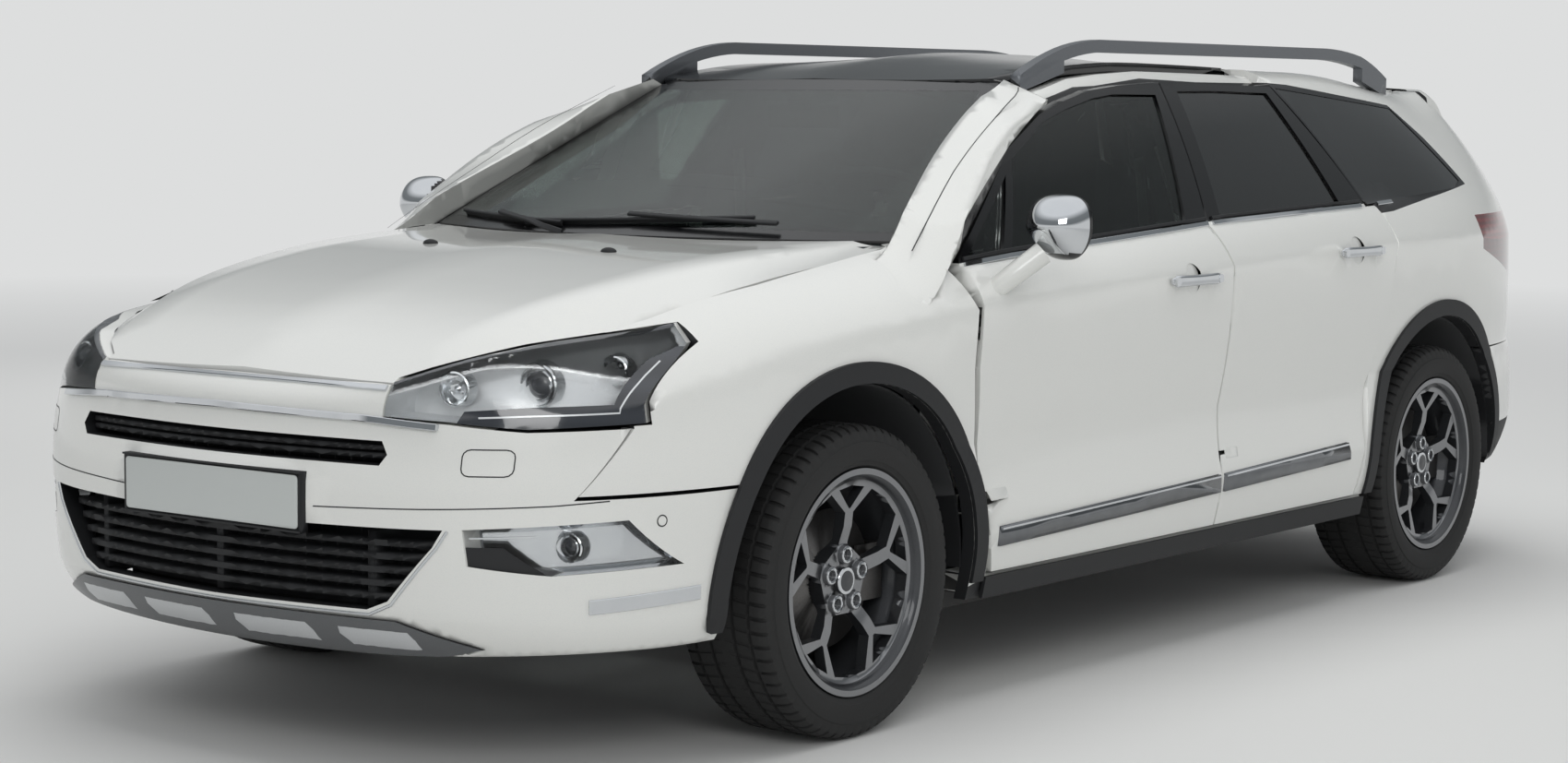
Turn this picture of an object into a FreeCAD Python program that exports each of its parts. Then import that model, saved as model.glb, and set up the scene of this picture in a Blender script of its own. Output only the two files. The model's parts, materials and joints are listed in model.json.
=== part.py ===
"""A five-door station wagon as an assembly of its real pieces.

Millimetres. X is the car's left, -Y its nose, +Z up. The origin is on the ground at mid length and mid width.
"""
import FreeCAD
import Part
import Sketcher
import math
import os

Vector = FreeCAD.Vector

# Driving sizes, each kept in one cell of the spreadsheet: alias, value, what it is
SIZES = (
    ("wheelbase", 2815, "front axle to rear axle"),
    ("front_overhang", 1020, "bumper's tip to front axle"),
    ("rear_overhang", 994, "rear axle to rear bumper's tip"),
    ("body_width", 1860, "over the door skins"),
    ("roof_height", 1498, "crown of the roof"),
    ("rail_rise", 10, "middle line of the roof rails above the roof's crown"),
    ("rail_diameter", 32, "of a roof rail"),
    ("belt_height", 995, "window sill line at the front door's front edge"),
    ("door_bottom", 302, "lower edge of the doors"),
    ("front_track", 1586, "between the front wheels' middle planes"),
    ("rear_track", 1560, "between the rear wheels' middle planes"),
    ("tyre_diameter", 678, "over the tread"),
    ("tyre_width", 245, "over the side walls"),
    ("rim_diameter", 457, "at the bead seats"),
    ("rim_width", 203, "between the bead seats' flanges"),
    ("arch_radius", 428, "radius of the wheel arch's edge"),
    ("cladding_width", 46, "of the black arch band"),
    ("cladding_proud", 9, "how far the arch band stands off the skin"),
    ("wing_wall", 32, "thickness of the front wings"),
    ("door_wall", 62, "thickness of a door below its window"),
    ("door_frame_wall", 30, "thickness of a door's window frame"),
    ("pillar_gap", 40, "from a door's inner face to the pillars and sill behind it"),
    ("pillar_wall", 46, "thickness of pillars and sill behind the doors"),
    ("quarter_wall", 68, "thickness of the rear quarter panels"),
    ("bumper_wall", 42, "thickness of the bumper skins with their foam"),
    ("panel_wall", 26, "thickness of bonnet and roof"),
    ("glass_wall", 5, "thickness of the window glass"),
    ("glass_depth", 7, "how deep the door glass sits below the skin"),
    ("shut_gap", 8, "gap between neighbouring panels"),
    ("hinge_pin", 12, "diameter of the hinge pins"),
    ("pin_clearance", 0.3, "between a pin and what turns on it"),
    ("disc_diameter", 302, "brake discs"),
    ("disc_wall", 26, "thickness of a brake disc"),
    ("kingpin_inset", 73, "steering axis, inboard of the wheel's middle plane"),
    ("floor_height", 205, "underside of the floor pan"),
    ("floor_wall", 30, "thickness of the floor pan"),
    ("seat_width", 500, "a front seat's cushion"),
    ("engine_length", 470, "engine block along the car"),
    ("engine_width", 620, "engine block across the car"),
    ("engine_height", 450, "engine block's height"),
)

doc = FreeCAD.newDocument("station_wagon")
sheet = doc.addObject("Spreadsheet::Sheet", "sizes")
for row, (alias, value, note) in enumerate(SIZES, start=1):
    sheet.set("A%d" % row, alias)
    sheet.set("B%d" % row, str(value))
    sheet.set("C%d" % row, note)
    sheet.setAlias("B%d" % row, alias)
doc.recompute()


class Sizes:
    """The spreadsheet's cells as plain numbers."""

    def __init__(self):
        for name, _, _ in SIZES:
            setattr(self, name, float(getattr(sheet, name)))


S = Sizes()
half_width = S.body_width / 2
length = S.wheelbase + S.front_overhang + S.rear_overhang
nose_y = -length / 2
tail_y = length / 2
front_y = nose_y + S.front_overhang
rear_y = front_y + S.wheelbase
middle_y = (front_y + rear_y) / 2
axle_z = S.tyre_diameter / 2
belt_z = S.belt_height
sill_z = S.door_bottom
roof_z = S.roof_height
half_gap = S.shut_gap / 2
far = half_width + 80
nodes = []


# Shape helpers
def ring(points, to_space):
    """A closed wire through flat points (u, v, bulge); a bulge bends the edge to the next point into an arc."""
    edges = []
    for i, (u, v, bulge) in enumerate(points):
        p, q, _ = points[(i + 1) % len(points)]
        start, end = to_space(u, v), to_space(p, q)
        if abs(bulge) < 1e-6:
            edges.append(Part.LineSegment(start, end).toShape())
            continue
        span = math.hypot(p - u, q - v)
        middle = to_space((u + p) / 2 + bulge * (q - v) / span, (v + q) / 2 - bulge * (p - u) / span)
        edges.append(Part.Arc(start, middle, end).toShape())
    return Part.Wire(edges)


def flat(points):
    return [(p[0], p[1], p[2] if len(p) > 2 else 0) for p in points]


def side_prism(points, x_from=0, x_to=None, slant=0):
    """A side outline (y, z, bulge) extruded across the car; slant carries it back by that share of the way out."""
    x_to = far if x_to is None else x_to
    wire = ring(flat(points), lambda y, z: Vector(x_from, y + slant * (x_from - half_width), z))
    run = x_to - x_from
    return Part.Face(wire).extrude(Vector(run, slant * run, 0))


def front_prism(points, y_from, y_to):
    """A front outline (x, z, bulge) extruded along the car."""
    wire = ring(flat(points), lambda x, z: Vector(x, y_from, z))
    return Part.Face(wire).extrude(Vector(0, y_to - y_from, 0))


def top_prism(points, z_from, z_to):
    """A plan outline (x, y, bulge) extruded upwards."""
    wire = ring(flat(points), lambda x, y: Vector(x, y, z_from))
    return Part.Face(wire).extrude(Vector(0, 0, z_to - z_from))


def box(x0, x1, y0, y1, z0, z1):
    return Part.makeBox(x1 - x0, y1 - y0, z1 - z0, Vector(x0, y0, z0))


def rod(a, b, radius):
    a, b = Vector(*a), Vector(*b)
    return Part.makeCylinder(radius, (b - a).Length, a, b - a)


def bar(points, radius):
    """A round bar through points, with a ball at each turn."""
    shape = rod(points[0], points[1], radius)
    for a, b in zip(points[1:], points[2:]):
        shape = shape.fuse([Part.makeSphere(radius, Vector(*a)), rod(a, b, radius)])
    return shape


def mirrored(shape):
    return shape.mirror(Vector(0, 0, 0), Vector(1, 0, 0))


def as_is(shape):
    return shape


SIDES = (("left", as_is, 1), ("right", mirrored, -1))


def both(shape):
    """The left-hand shape and its mirror image as solids that share a node."""
    return Part.makeCompound(shape.Solids + mirrored(shape).Solids)


def fuse(shapes):
    return shapes[0].fuse(list(shapes[1:]))


def shifted(points, by):
    return [(p[0] + by, p[1]) for p in points]


def symmetric(half):
    """A closed outline from its left half, which starts and ends on the middle line."""
    half = flat(half)
    last = (half[-1][0], half[-1][1], half[-2][2])
    back = [(-x, v, before[2]) for (x, v, _), before in zip(half[-2:0:-1], half[-3::-1])]
    return half[:-1] + [last] + back


def wall(stations, thickness, proud=0):
    """A thick wall lofted through upright sections. A station is (x, y, heading, outline); the outline's points are
    (stand-off, height, bulge) and the heading is the way the skin faces there, in degrees from the nose."""
    wires = []
    for x, y, heading, outline in stations:
        turn = math.radians(heading)
        outer = [(o + proud, z, b) for o, z, b in outline]
        back_bulges = [0] + [-b for _, _, b in outline[:-1]]
        inner = [(o + proud - thickness, z, b) for (o, z, _), b in zip(outline, back_bulges)]
        closed = outer[:-1] + [(outer[-1][0], outer[-1][1], 0)] + inner[::-1]
        wires.append(ring(closed, lambda o, z: Vector(x + o * math.sin(turn), y - o * math.cos(turn), z)))
    return Part.makeLoft(wires, True, False)


def sheet_loft(stations, thickness):
    """A crowned sheet lofted along the car through sections (y, half outline (x, z, bulge) from edge to middle)."""
    wires = []
    for y, half in stations:
        bulges = [p[2] for p in half[:-1]]
        bulges = bulges + bulges[::-1]
        places = [(x, z) for x, z, _ in half] + [(-x, z) for x, z, _ in half[-2::-1]]
        top = [(x, z, b) for (x, z), b in zip(places, bulges + [0])]
        low = [(x, z - thickness, b) for (x, z), b in zip(places[::-1], [-b for b in bulges[::-1]] + [0])]
        wires.append(ring(top + low, lambda x, z: Vector(x, y, z)))
    return Part.makeLoft(wires, True, False)


def turned_body(label, profile, place):
    """A body made by turning a constrained sketch round the line along x through its place. The profile lists the
    left half as pairs of expressions and values: (half width, its value, radius, its value), from the seat outwards;
    the other half is its mirror image."""
    body = doc.addObject("PartDesign::Body", label)
    sketch = body.newObject("Sketcher::SketchObject", label + "_profile")
    sketch.Placement = FreeCAD.Placement(Vector(0, 0, 0), FreeCAD.Rotation(Vector(1, 0, 0), 90))
    points = [(u, v) for _, u, _, v in profile] + [(-u, v) for _, u, _, v in reversed(profile)]
    count = len(points)
    for i, (u, v) in enumerate(points):
        p, q = points[(i + 1) % count]
        sketch.addGeometry(Part.LineSegment(Vector(u, v, 0), Vector(p, q, 0)))
    for i in range(count):
        sketch.addConstraint(Sketcher.Constraint("Coincident", i, 2, (i + 1) % count, 1))
    for i, (width, u, radius, v) in enumerate(profile):
        row = sketch.addConstraint(Sketcher.Constraint("DistanceX", -1, 1, i, 1, u))
        sketch.setExpression("Constraints[%d]" % row, width)
        row = sketch.addConstraint(Sketcher.Constraint("DistanceY", -1, 1, i, 1, v))
        sketch.setExpression("Constraints[%d]" % row, radius)
        sketch.addConstraint(Sketcher.Constraint("Symmetric", i, 1, count - 1 - i, 1, -2))
    turn = body.newObject("PartDesign::Revolution", label + "_turn")
    turn.Profile = sketch
    turn.ReferenceAxis = (sketch, ["H_Axis"])
    turn.Angle = 360
    for axis, expression in zip("xyz", place):
        body.setExpression("Placement.Base." + axis, expression)
    return body


def node(label, shape):
    """Keeps a finished shape as an object of the document, named for its file."""
    made = doc.addObject("Part::Feature", label)
    made.Label = label
    made.Shape = shape
    nodes.append(made)
    return made


# Body side below the windows. Columns: y, then (inset from half_width, height) at sill, rocker, waist, crease, belt
FLANK = (
    (front_y + 345, (40, sill_z - 60), (12, sill_z + 125), (22, sill_z + 300), (9, belt_z - 92), (72, belt_z - 4)),
    (front_y + 700, (34, sill_z - 60), (5, sill_z + 125), (24, sill_z + 300), (4, belt_z - 70), (71, belt_z + 12)),
    (middle_y + 150, (32, sill_z - 60), (3, sill_z + 125), (26, sill_z + 300), (0, belt_z - 40), (70, belt_z + 67)),
    (rear_y - 400, (34, sill_z - 60), (4, sill_z + 125), (25, sill_z + 300), (2, belt_z - 12), (70, belt_z + 90)),
    (rear_y - 150, (38, sill_z - 60), (10, sill_z + 125), (28, sill_z + 300), (3, belt_z - 10), (74, belt_z + 97)),
)
FLANK_BULGES = (4, -5, 7, 6, 0)


def flank_wall(thickness, proud=0):
    stations = [(half_width, y, 90, [(-i, z, b) for (i, z), b in zip(points, FLANK_BULGES)])
                for y, *points in FLANK]
    return wall(stations, thickness, proud)


# Window side. Columns: y, then (inset, height) at base, cantrail's foot and cantrail's top; crown of the roof
CANOPY = (
    (front_y + 250, (80, belt_z - 10), (240, roof_z - 126), (330, roof_z - 76), roof_z - 64),
    (front_y + 1095, (70, belt_z + 40), (240, roof_z - 124), (330, roof_z - 74), roof_z - 62),
    (middle_y - 13, (68, belt_z + 58), (250, roof_z - 94), (330, roof_z - 37), roof_z - 15),
    (middle_y + 387, (68, belt_z + 70), (258, roof_z - 80), (330, roof_z - 30), roof_z),
    (middle_y + 887, (70, belt_z + 88), (258, roof_z - 88), (330, roof_z - 42), roof_z - 8),
    (rear_y + 80, (82, belt_z + 103), (257, roof_z - 130), (334, roof_z - 80), roof_z - 42),
    (rear_y + 500, (120, belt_z + 112), (280, roof_z - 168), (362, roof_z - 86), roof_z - 67),
)
CANOPY_FOOT = 60


def canopy_wall(thickness, proud=0, base_proud=None):
    base_proud = proud if base_proud is None else base_proud
    stations = []
    for y, base, low, top, _ in CANOPY:
        outline = [
            (base_proud - base[0] + 2, base[1] - CANOPY_FOOT, 0),
            (base_proud - base[0], base[1], 9),
            (proud - low[0], low[1], 10),
            (proud - top[0], top[1], 0),
        ]
        stations.append((half_width, y, 90, outline))
    return wall(stations, thickness)


def roof_sheet(thickness, drop=0):
    stations = []
    for y, _, _, top, crown in CANOPY:
        edge = half_width - top[0]
        stations.append((y, [(edge, top[1] - drop, -(crown - top[1]) / 4), (0, crown - drop, 0)]))
    return sheet_loft(stations, thickness)


# Nose and front wings. Columns: x, y, heading, then (stand-off, height) at lip, chin, face, brow and bonnet edge
NOSE = (
    (0, nose_y, 0, (-80, 248), (-12, 345), (0, 600), (-30, 732), (-105, 800)),
    (330, nose_y + 26, 9, (-80, 250), (-12, 345), (0, 600), (-28, 732), (-96, 806)),
    (600, nose_y + 98, 24, (-64, 262), (-12, 345), (0, 600), (-22, 735), (-98, 852)),
    (half_width - 132, nose_y + 290, 52, (-45, 268), (-12, 345), (0, 600), (-22, 750), (-175, 890)),
    (half_width - 48, nose_y + 530, 78, (-38, 268), (-12, 345), (0, 600), (-26, 790), (-188, 928)),
    (half_width - 18, front_y - 245, 87, (-32, 262), (-10, 380), (0, 600), (-28, 835), (-187, 966)),
    (half_width - 8, front_y + 5, 89, (-30, 255), (-8, 400), (0, 600), (-20, 868), (-189, 1000)),
    (half_width, front_y + 285, 90, (-38, 248), (-12, 420), (-14, 600), (-16, 893), (-195, 1036)),
    (half_width, front_y + 490, 90, (-40, 245), (-13, 428), (-22, 602), (-9, 904), (-198, 1052)),
)
NOSE_BULGES = (6, 5, 3, 20, 0)


def shell(table, bulges, thickness, proud, first, last, whole):
    """A wall through some of a table's stations; whole adds their mirror images."""
    half = [(x, y, heading, [(o, z, b) for (o, z), b in zip(points, bulges)])
            for x, y, heading, *points in table[first:last]]
    if whole:
        half = [(-x, y, -heading, outline) for x, y, heading, outline in half[:0:-1]] + half
    return wall(half, thickness, proud)


def nose_wall(thickness, proud=0):
    """The nose from wing to wing."""
    return shell(NOSE, NOSE_BULGES, thickness, proud, 0, 6, True)


def wing_wall(thickness, proud=0):
    """The left corner of the nose and the wing behind it."""
    return shell(NOSE, NOSE_BULGES, thickness, proud, 2, 9, False)


# Tail and rear quarters. Columns: x, y, heading, then (stand-off, height) at lip, bumper, ledge, gate's foot, crease,
# belt, roof side and roof edge
TAIL = (
    (0, tail_y, 180, (-60, 300), (0, 430), (-8, 630), (-50, 665), (-60, 980), (-112, 1105), (-385, 1345), (-480, 1430)),
    (430, tail_y - 28, 171, (-60, 300), (0, 430), (-8, 630), (-48, 665), (-58, 980), (-108, 1105), (-370, 1345),
     (-462, 1422)),
    (680, tail_y - 118, 154, (-55, 300), (0, 430), (-8, 630), (-36, 665), (-44, 980), (-92, 1105), (-325, 1340),
     (-405, 1416)),
    (half_width - 118, tail_y - 300, 128, (-46, 300), (0, 430), (-6, 630), (-16, 665), (-16, 980), (-64, 1105),
     (-232, 1335), (-300, 1411)),
    (half_width - 52, tail_y - 540, 104, (-30, 300), (0, 430), (-4, 630), (-4, 665), (2, 980), (-54, 1105),
     (-222, 1330), (-300, 1400)),
    (half_width - 20, rear_y + 194, 95, (-26, 300), (0, 430), (-8, 630), (-8, 665), (6, 980), (-60, 1105),
     (-236, 1355), (-322, 1406)),
    (half_width, rear_y - 100, 90, (-32, 300), (-10, 430), (-27, 630), (-24, 665), (-3, 985), (-82, 1105),
     (-259, 1390), (-333, 1437)),
    (half_width, rear_y - 420, 90, (-24, 300), (-4, 430), (-25, 630), (-22, 665), (-2, 983), (-84, 1105),
     (-259, 1408), (-331, 1454)),
    (half_width, rear_y - 650, 90, (-24, 300), (-4, 430), (-25, 630), (-22, 665), (-1, 978), (-83, 1105),
     (-258, 1410), (-330, 1458)),
)
TAIL_BULGES = (6, 4, 1, 3, 5, 8, 8, 0)


def tail_wall(thickness, proud=0):
    """The tail from quarter to quarter."""
    return shell(TAIL, TAIL_BULGES, thickness, proud, 0, 6, True)


def quarter_wall(thickness, proud=0):
    """The left corner of the tail and the quarter ahead of it."""
    return shell(TAIL, TAIL_BULGES, thickness, proud, 2, 9, False)


# Bonnet. Columns: y, height at the edge, crease's x and height, height at the middle
BONNET = (
    (nose_y + 60, 735, 480, 778, 787),
    (nose_y + 224, 805, 500, 868, 880),
    (nose_y + 412, 852, 550, 936, 949),
    (front_y - 348, 930, 595, 990, 1002),
    (front_y - 148, 975, 615, 1018, 1029),
    (front_y + 98, 1006, 635, 1036, 1045),
    (front_y + 294, 1033, 645, 1048, 1056),
    (front_y + 430, 1044, 650, 1054, 1060),
)
BONNET_EDGE = 740


def bonnet_sheet(thickness):
    stations = [(y, [(BONNET_EDGE, edge, -5), (x, crease, -3), (0, middle, 0)])
                for y, edge, x, crease, middle in BONNET]
    return sheet_loft(stations, thickness)


# Shut lines in side view (y, z) and the black window band
FRONT_SHUT = [(front_y + 448, belt_z + 60), (front_y + 450, belt_z + 8), (front_y + 426, belt_z - 225),
              (front_y + 444, sill_z + 248), (front_y + 510, sill_z - 20)]
MIDDLE_SHUT = [(middle_y + 158, belt_z + 130), (middle_y + 158, belt_z - 60), (middle_y + 151, belt_z - 225),
               (middle_y + 115, sill_z - 20)]
REAR_SHUT = [(rear_y - 302, belt_z + 130), (rear_y - 303, belt_z + 86), (rear_y - 356, belt_z - 178),
             (rear_y - 456, sill_z + 290), (rear_y - 522, sill_z - 20)]
ROOF_LINE = [(front_y + 445, belt_z + 16), (front_y + 791, belt_z + 263), (front_y + 990, roof_z - 158),
             (front_y + 1119, roof_z - 126), (front_y + 1257, roof_z - 99), (front_y + 1400, roof_z - 86),
             (middle_y + 185, roof_z - 76), (middle_y + 464, roof_z - 78), (middle_y + 797, roof_z - 82)]
SHUT_SLANT = 0.3
REAR_SLANT = 0.45


def behind(points, slant=0, x_from=0):
    """All that lies behind a shut line."""
    top, low = points[0], points[-1]
    outline = [(top[0], roof_z + 60)] + points + [(low[0], -40), (tail_y + 400, -40), (tail_y + 400, roof_z + 60)]
    return side_prism(outline, x_from, None, slant)


def ahead(points, slant=0, x_from=0):
    """All that lies ahead of a shut line."""
    top, low = points[0], points[-1]
    outline = [(top[0], roof_z + 60)] + points + [(low[0], -40), (nose_y - 60, -40), (nose_y - 60, roof_z + 60)]
    return side_prism(outline, x_from, None, slant)


def lean(z):
    """The x of the window side at a height."""
    return half_width - 72 - 0.52 * max(0, z - belt_z - 60)


def at_skin(points, slant):
    """Shut line points given where they lie on the leaning window side."""
    return [(y + slant * (half_width - lean(z)), z) for y, z in points]


def arch(y, radius, x_from=300):
    """A wheel arch's space: half round over the axle and straight down from it."""
    round_part = Part.makeCylinder(radius, far - x_from, Vector(x_from, y, axle_z), Vector(1, 0, 0))
    return round_part.fuse(box(x_from, far, y - radius, y + radius, -50, axle_z))


# Master walls
flank_door = flank_wall(S.door_wall)
canopy_door = canopy_wall(S.door_frame_wall)
inner_depth = S.door_frame_wall + 12
canopy_inner = canopy_wall(34, -inner_depth, -(S.door_wall + 24))
nose_skin = nose_wall(S.bumper_wall)
wing_skin = wing_wall(S.wing_wall)
tail_skin = tail_wall(S.bumper_wall)
quarter_skin = quarter_wall(S.quarter_wall)
roof_skin = roof_sheet(S.panel_wall)
bonnet_skin = bonnet_sheet(S.panel_wall)
front_arch = arch(front_y, S.arch_radius)
rear_arch = arch(rear_y, S.arch_radius)

# Doors
frame_low = belt_z - 40
FRAME_SPLIT = at_skin([(middle_y + 204, roof_z - 60), (middle_y + 200, roof_z - 88), (middle_y + 137, belt_z + 70),
                       (middle_y + 136, belt_z - 60)], SHUT_SLANT)
FRAME_REAR = at_skin([(middle_y + 790, roof_z - 60), (middle_y + 800, roof_z - 88), (rear_y - 400, belt_z + 91),
                      (rear_y - 398, belt_z - 60)], REAR_SLANT)


def under_roof_line(lift):
    """The side area from the sills up to the roof line of the window band."""
    points = [(y, z + lift) for y, z in ROOF_LINE]
    return side_prism([(points[0][0] - 20, frame_low - 60), (points[0][0] - 20, points[0][1])] + points
                      + [(rear_y + 100, points[-1][1]), (rear_y + 100, frame_low - 60)])


def window_frame(front_line, front_slant, rear_line, rear_slant):
    frame = canopy_door.common(under_roof_line(-half_gap))
    frame = frame.cut(box(0, far, nose_y, tail_y, 0, frame_low))
    return frame.common(behind(front_line, front_slant)).common(ahead(rear_line, rear_slant))


bottom_cut = box(0, far, nose_y, tail_y, 0, sill_z)
front_door_low = flank_door.common(behind(shifted(FRONT_SHUT, half_gap)))
front_door_low = front_door_low.common(ahead(shifted(MIDDLE_SHUT, -half_gap), SHUT_SLANT)).cut(bottom_cut)
front_door_frame = window_frame(shifted(FRONT_SHUT, half_gap), 0, shifted(FRAME_SPLIT, -half_gap), SHUT_SLANT)
rear_door_low = flank_door.common(behind(shifted(MIDDLE_SHUT, half_gap), SHUT_SLANT))
rear_door_low = rear_door_low.common(ahead(shifted(REAR_SHUT, -half_gap), REAR_SLANT)).cut(bottom_cut)
rear_door_low = rear_door_low.cut(arch(rear_y, S.arch_radius + S.cladding_width + S.shut_gap))
rear_door_frame = window_frame(shifted(FRAME_SPLIT, half_gap), SHUT_SLANT, shifted(FRAME_REAR, -half_gap), REAR_SLANT)

FRONT_WINDOW = [(middle_y + 32, belt_z + 68), (middle_y + 152, roof_z - 112), (middle_y - 52, roof_z - 112),
                (front_y + 1257, roof_z - 122), (front_y + 1119, roof_z - 148), (front_y + 990, roof_z - 180),
                (front_y + 795, belt_z + 238), (front_y + 672, belt_z + 33)]
FRONT_TRIANGLE = [(front_y + 636, belt_z + 31), (front_y + 745, belt_z + 200), (front_y + 490, belt_z + 20)]
REAR_WINDOW = [(middle_y + 210, belt_z + 76), (middle_y + 270, roof_z - 102), (middle_y + 464, roof_z - 100),
               (middle_y + 753, roof_z - 104), (rear_y - 533, belt_z + 92)]
QUARTER_WINDOW = [(middle_y + 822, roof_z - 90), (rear_y + 88, roof_z - 144), (rear_y + 278, belt_z + 150),
                  (rear_y + 220, belt_z + 132), (rear_y - 376, belt_z + 96)]
door_glass_skin = canopy_wall(S.glass_wall, -S.glass_depth)
front_window_hole = fuse([side_prism(FRONT_WINDOW), side_prism(FRONT_TRIANGLE)])
rear_window_hole = side_prism(REAR_WINDOW)
quarter_hole = side_prism(QUARTER_WINDOW)

# A door's vertical hinge: place of the axis and heights of its two hinges
hinge_x = half_width - 26
FRONT_HINGE_Y = front_y + 530
REAR_HINGE_Y = middle_y + 200
HINGE_Z = (sill_z + 150, belt_z - 125)
HINGE_ROOM = 37
EYE_WALL = 5
pin_r = S.hinge_pin / 2
pillar_face = half_width - S.door_wall - S.pillar_gap


def hinge_pocket(y):
    """The notch in a door's front edge that the hinge and its bracket swing in."""
    reach = pin_r + EYE_WALL + 1
    return fuse([box(hinge_x - 90, hinge_x + reach, y - 110, y + reach + 4, z - HINGE_ROOM, z + HINGE_ROOM)
                 for z in HINGE_Z])


def hinge_knuckle(y):
    """The door's half of its hinges: an eye round the pin and a leaf to the door."""
    parts = []
    for z in HINGE_Z:
        eye = Part.makeCylinder(pin_r + EYE_WALL, 24, Vector(hinge_x, y, z - 12))
        leaf = box(hinge_x - 8, hinge_x + 8, y, y + 30, z - 12, z + 12)
        hole = Part.makeCylinder(pin_r + S.pin_clearance, 30, Vector(hinge_x, y, z - 15))
        parts.append(eye.fuse(leaf).cut(hole))
    return fuse(parts)


def hinge_bracket(y):
    """The pillar's half: a pin held by an arm above and below the eye."""
    parts = []
    for z in HINGE_Z:
        parts.append(Part.makeCylinder(pin_r, 56, Vector(hinge_x, y, z - 28)))
        for low in (z - 28, z + 14):
            parts.append(Part.makeCylinder(pin_r + 4, 14, Vector(hinge_x, y, low)))
            parts.append(box(pillar_face - 64, hinge_x, y - 7, y + 7, low, low + 14))
    return fuse(parts)


def handle(y, z):
    """A door handle: a bow that stands on two feet."""
    bow = box(half_width + 8, half_width + 24, y - 120, y + 120, z - 16, z + 10)
    bow = bow.makeFillet(7, bow.Edges)
    feet = fuse([box(half_width - 30, half_width + 14, y + s * 98 - 14, y + s * 98 + 14, z - 12, z + 6)
                 for s in (-1, 1)])
    return bow.fuse(feet)


def moulding(y_from, y_to, z_from, z_to):
    """The strip along the foot of a door."""
    strip = flank_wall(14, S.cladding_proud - 2)
    return strip.common(side_prism([(y_from, z_from), (y_to, z_to), (y_to - 6, z_to + 46), (y_from, z_from + 45)]))


strip_front = moulding(front_y + 520, middle_y + 112, sill_z + 58, sill_z + 84)
strip_rear = moulding(middle_y + 132, rear_y - 590, sill_z + 84, sill_z + 105)
front_door = fuse([front_door_low.cut(hinge_pocket(FRONT_HINGE_Y)), front_door_frame.cut(front_window_hole),
                   hinge_knuckle(FRONT_HINGE_Y), handle(middle_y - 48, belt_z - 61), strip_front])
front_door = front_door.cut(front_window_hole)
rear_door = fuse([rear_door_low.cut(hinge_pocket(REAR_HINGE_Y)), rear_door_frame.cut(rear_window_hole),
                  hinge_knuckle(REAR_HINGE_Y), handle(rear_y - 565, belt_z - 22), strip_rear])
rear_door = rear_door.cut(rear_window_hole)
glass_front = door_glass_skin.common(front_window_hole)
glass_rear = door_glass_skin.common(rear_window_hole)

# Mirrors: a teardrop housing on a foot that stands on the door's shoulder. Columns: y from the housing's middle,
# shift along x, half width, half height, shift along z, bulge of the four sides
HOUSING = (
    (-74, -4, 34, 30, 6, 13),
    (-62, -2, 62, 54, 4, 20),
    (-30, 0, 78, 70, 1, 23),
    (14, 2, 82, 75, 0, 22),
)
MIRROR_X = half_width + 62
mirror_y = front_y + 640
mirror_z = belt_z + 88


def housing_wire(dy, dx, half_x, half_z, dz, bulge):
    """One upright section of a mirror's housing, with bowed sides."""
    outline = [(-half_x, -half_z + 8, bulge), (half_x - 18, -half_z, bulge), (half_x, half_z - 22, bulge),
               (-half_x + 12, half_z, bulge)]
    return ring(outline, lambda u, v: Vector(MIRROR_X + dx + u, mirror_y + dy, mirror_z + dz + v))


housing = Part.makeLoft([housing_wire(*row) for row in HOUSING], True, False)
foot_top = Vector(half_width + 40, mirror_y - 18, mirror_z - 62)
foot_base = Vector(half_width - 36, mirror_y - 50, belt_z - 42)
mirror_foot = Part.makeCone(24, 15, (foot_top - foot_base).Length, foot_base, foot_top - foot_base)
mirror = housing.fuse(mirror_foot).cut(front_door)
mirror = max(mirror.Solids, key=lambda s: s.Volume)
for side, turn, _ in SIDES:
    node("door_front_" + side, turn(front_door))
    node("door_rear_" + side, turn(rear_door))
    node("door_glass_front_" + side, turn(glass_front))
    node("door_glass_rear_" + side, turn(glass_rear))
    node("mirror_" + side, turn(mirror))

# Tailgate and tail lamps
gate_hinge_y, gate_hinge_z = tail_y - 480 - S.bumper_wall + 16, roof_z - 92
GATE_HINGE_X = 420
GATE_NOSE = 20
GATE = [(0, 667), (704, 667), (694, 868), (678, 1052), (656, 1240), (616, roof_z - 78), (602, roof_z + 20),
        (0, roof_z + 20)]


def gate_prism(grow):
    outline = [(x + (grow if x else 0), z - (grow if z < 700 else 0)) for x, z in GATE]
    return front_prism(symmetric(outline), gate_hinge_y - GATE_NOSE - half_gap - grow, tail_y + 60)


REAR_WINDOW_OUTLINE = [(0, 1118), (560, 1120), (575, 1160), (500, 1352), (0, 1356)]
rear_glass_hole = front_prism(symmetric(REAR_WINDOW_OUTLINE), rear_y + 380, tail_y + 60)
gate_edge = box(-far, far, gate_hinge_y - 60, gate_hinge_y, gate_hinge_z - 4, roof_z)
gate_edge = gate_edge.cut(rod((-far, gate_hinge_y, gate_hinge_z), (far, gate_hinge_y, gate_hinge_z), GATE_NOSE))
PLATE_HALF = 260
PLATE_HEIGHT = 110
PLATE_EDGE = 7
REAR_PLATE_Z = 711
plate_recess = box(-PLATE_HALF - PLATE_EDGE, PLATE_HALF + PLATE_EDGE, tail_y - 76, tail_y + 20,
                   REAR_PLATE_Z - PLATE_EDGE, REAR_PLATE_Z + PLATE_HEIGHT + PLATE_EDGE)
rear_plate_pad = box(-PLATE_HALF, PLATE_HALF, tail_y - 79, tail_y - 75, REAR_PLATE_Z, REAR_PLATE_Z + PLATE_HEIGHT)
gate = tail_skin.common(gate_prism(-half_gap)).cut([rear_glass_hole, gate_edge, plate_recess])
gate = gate.fuse(rear_plate_pad)


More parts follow.
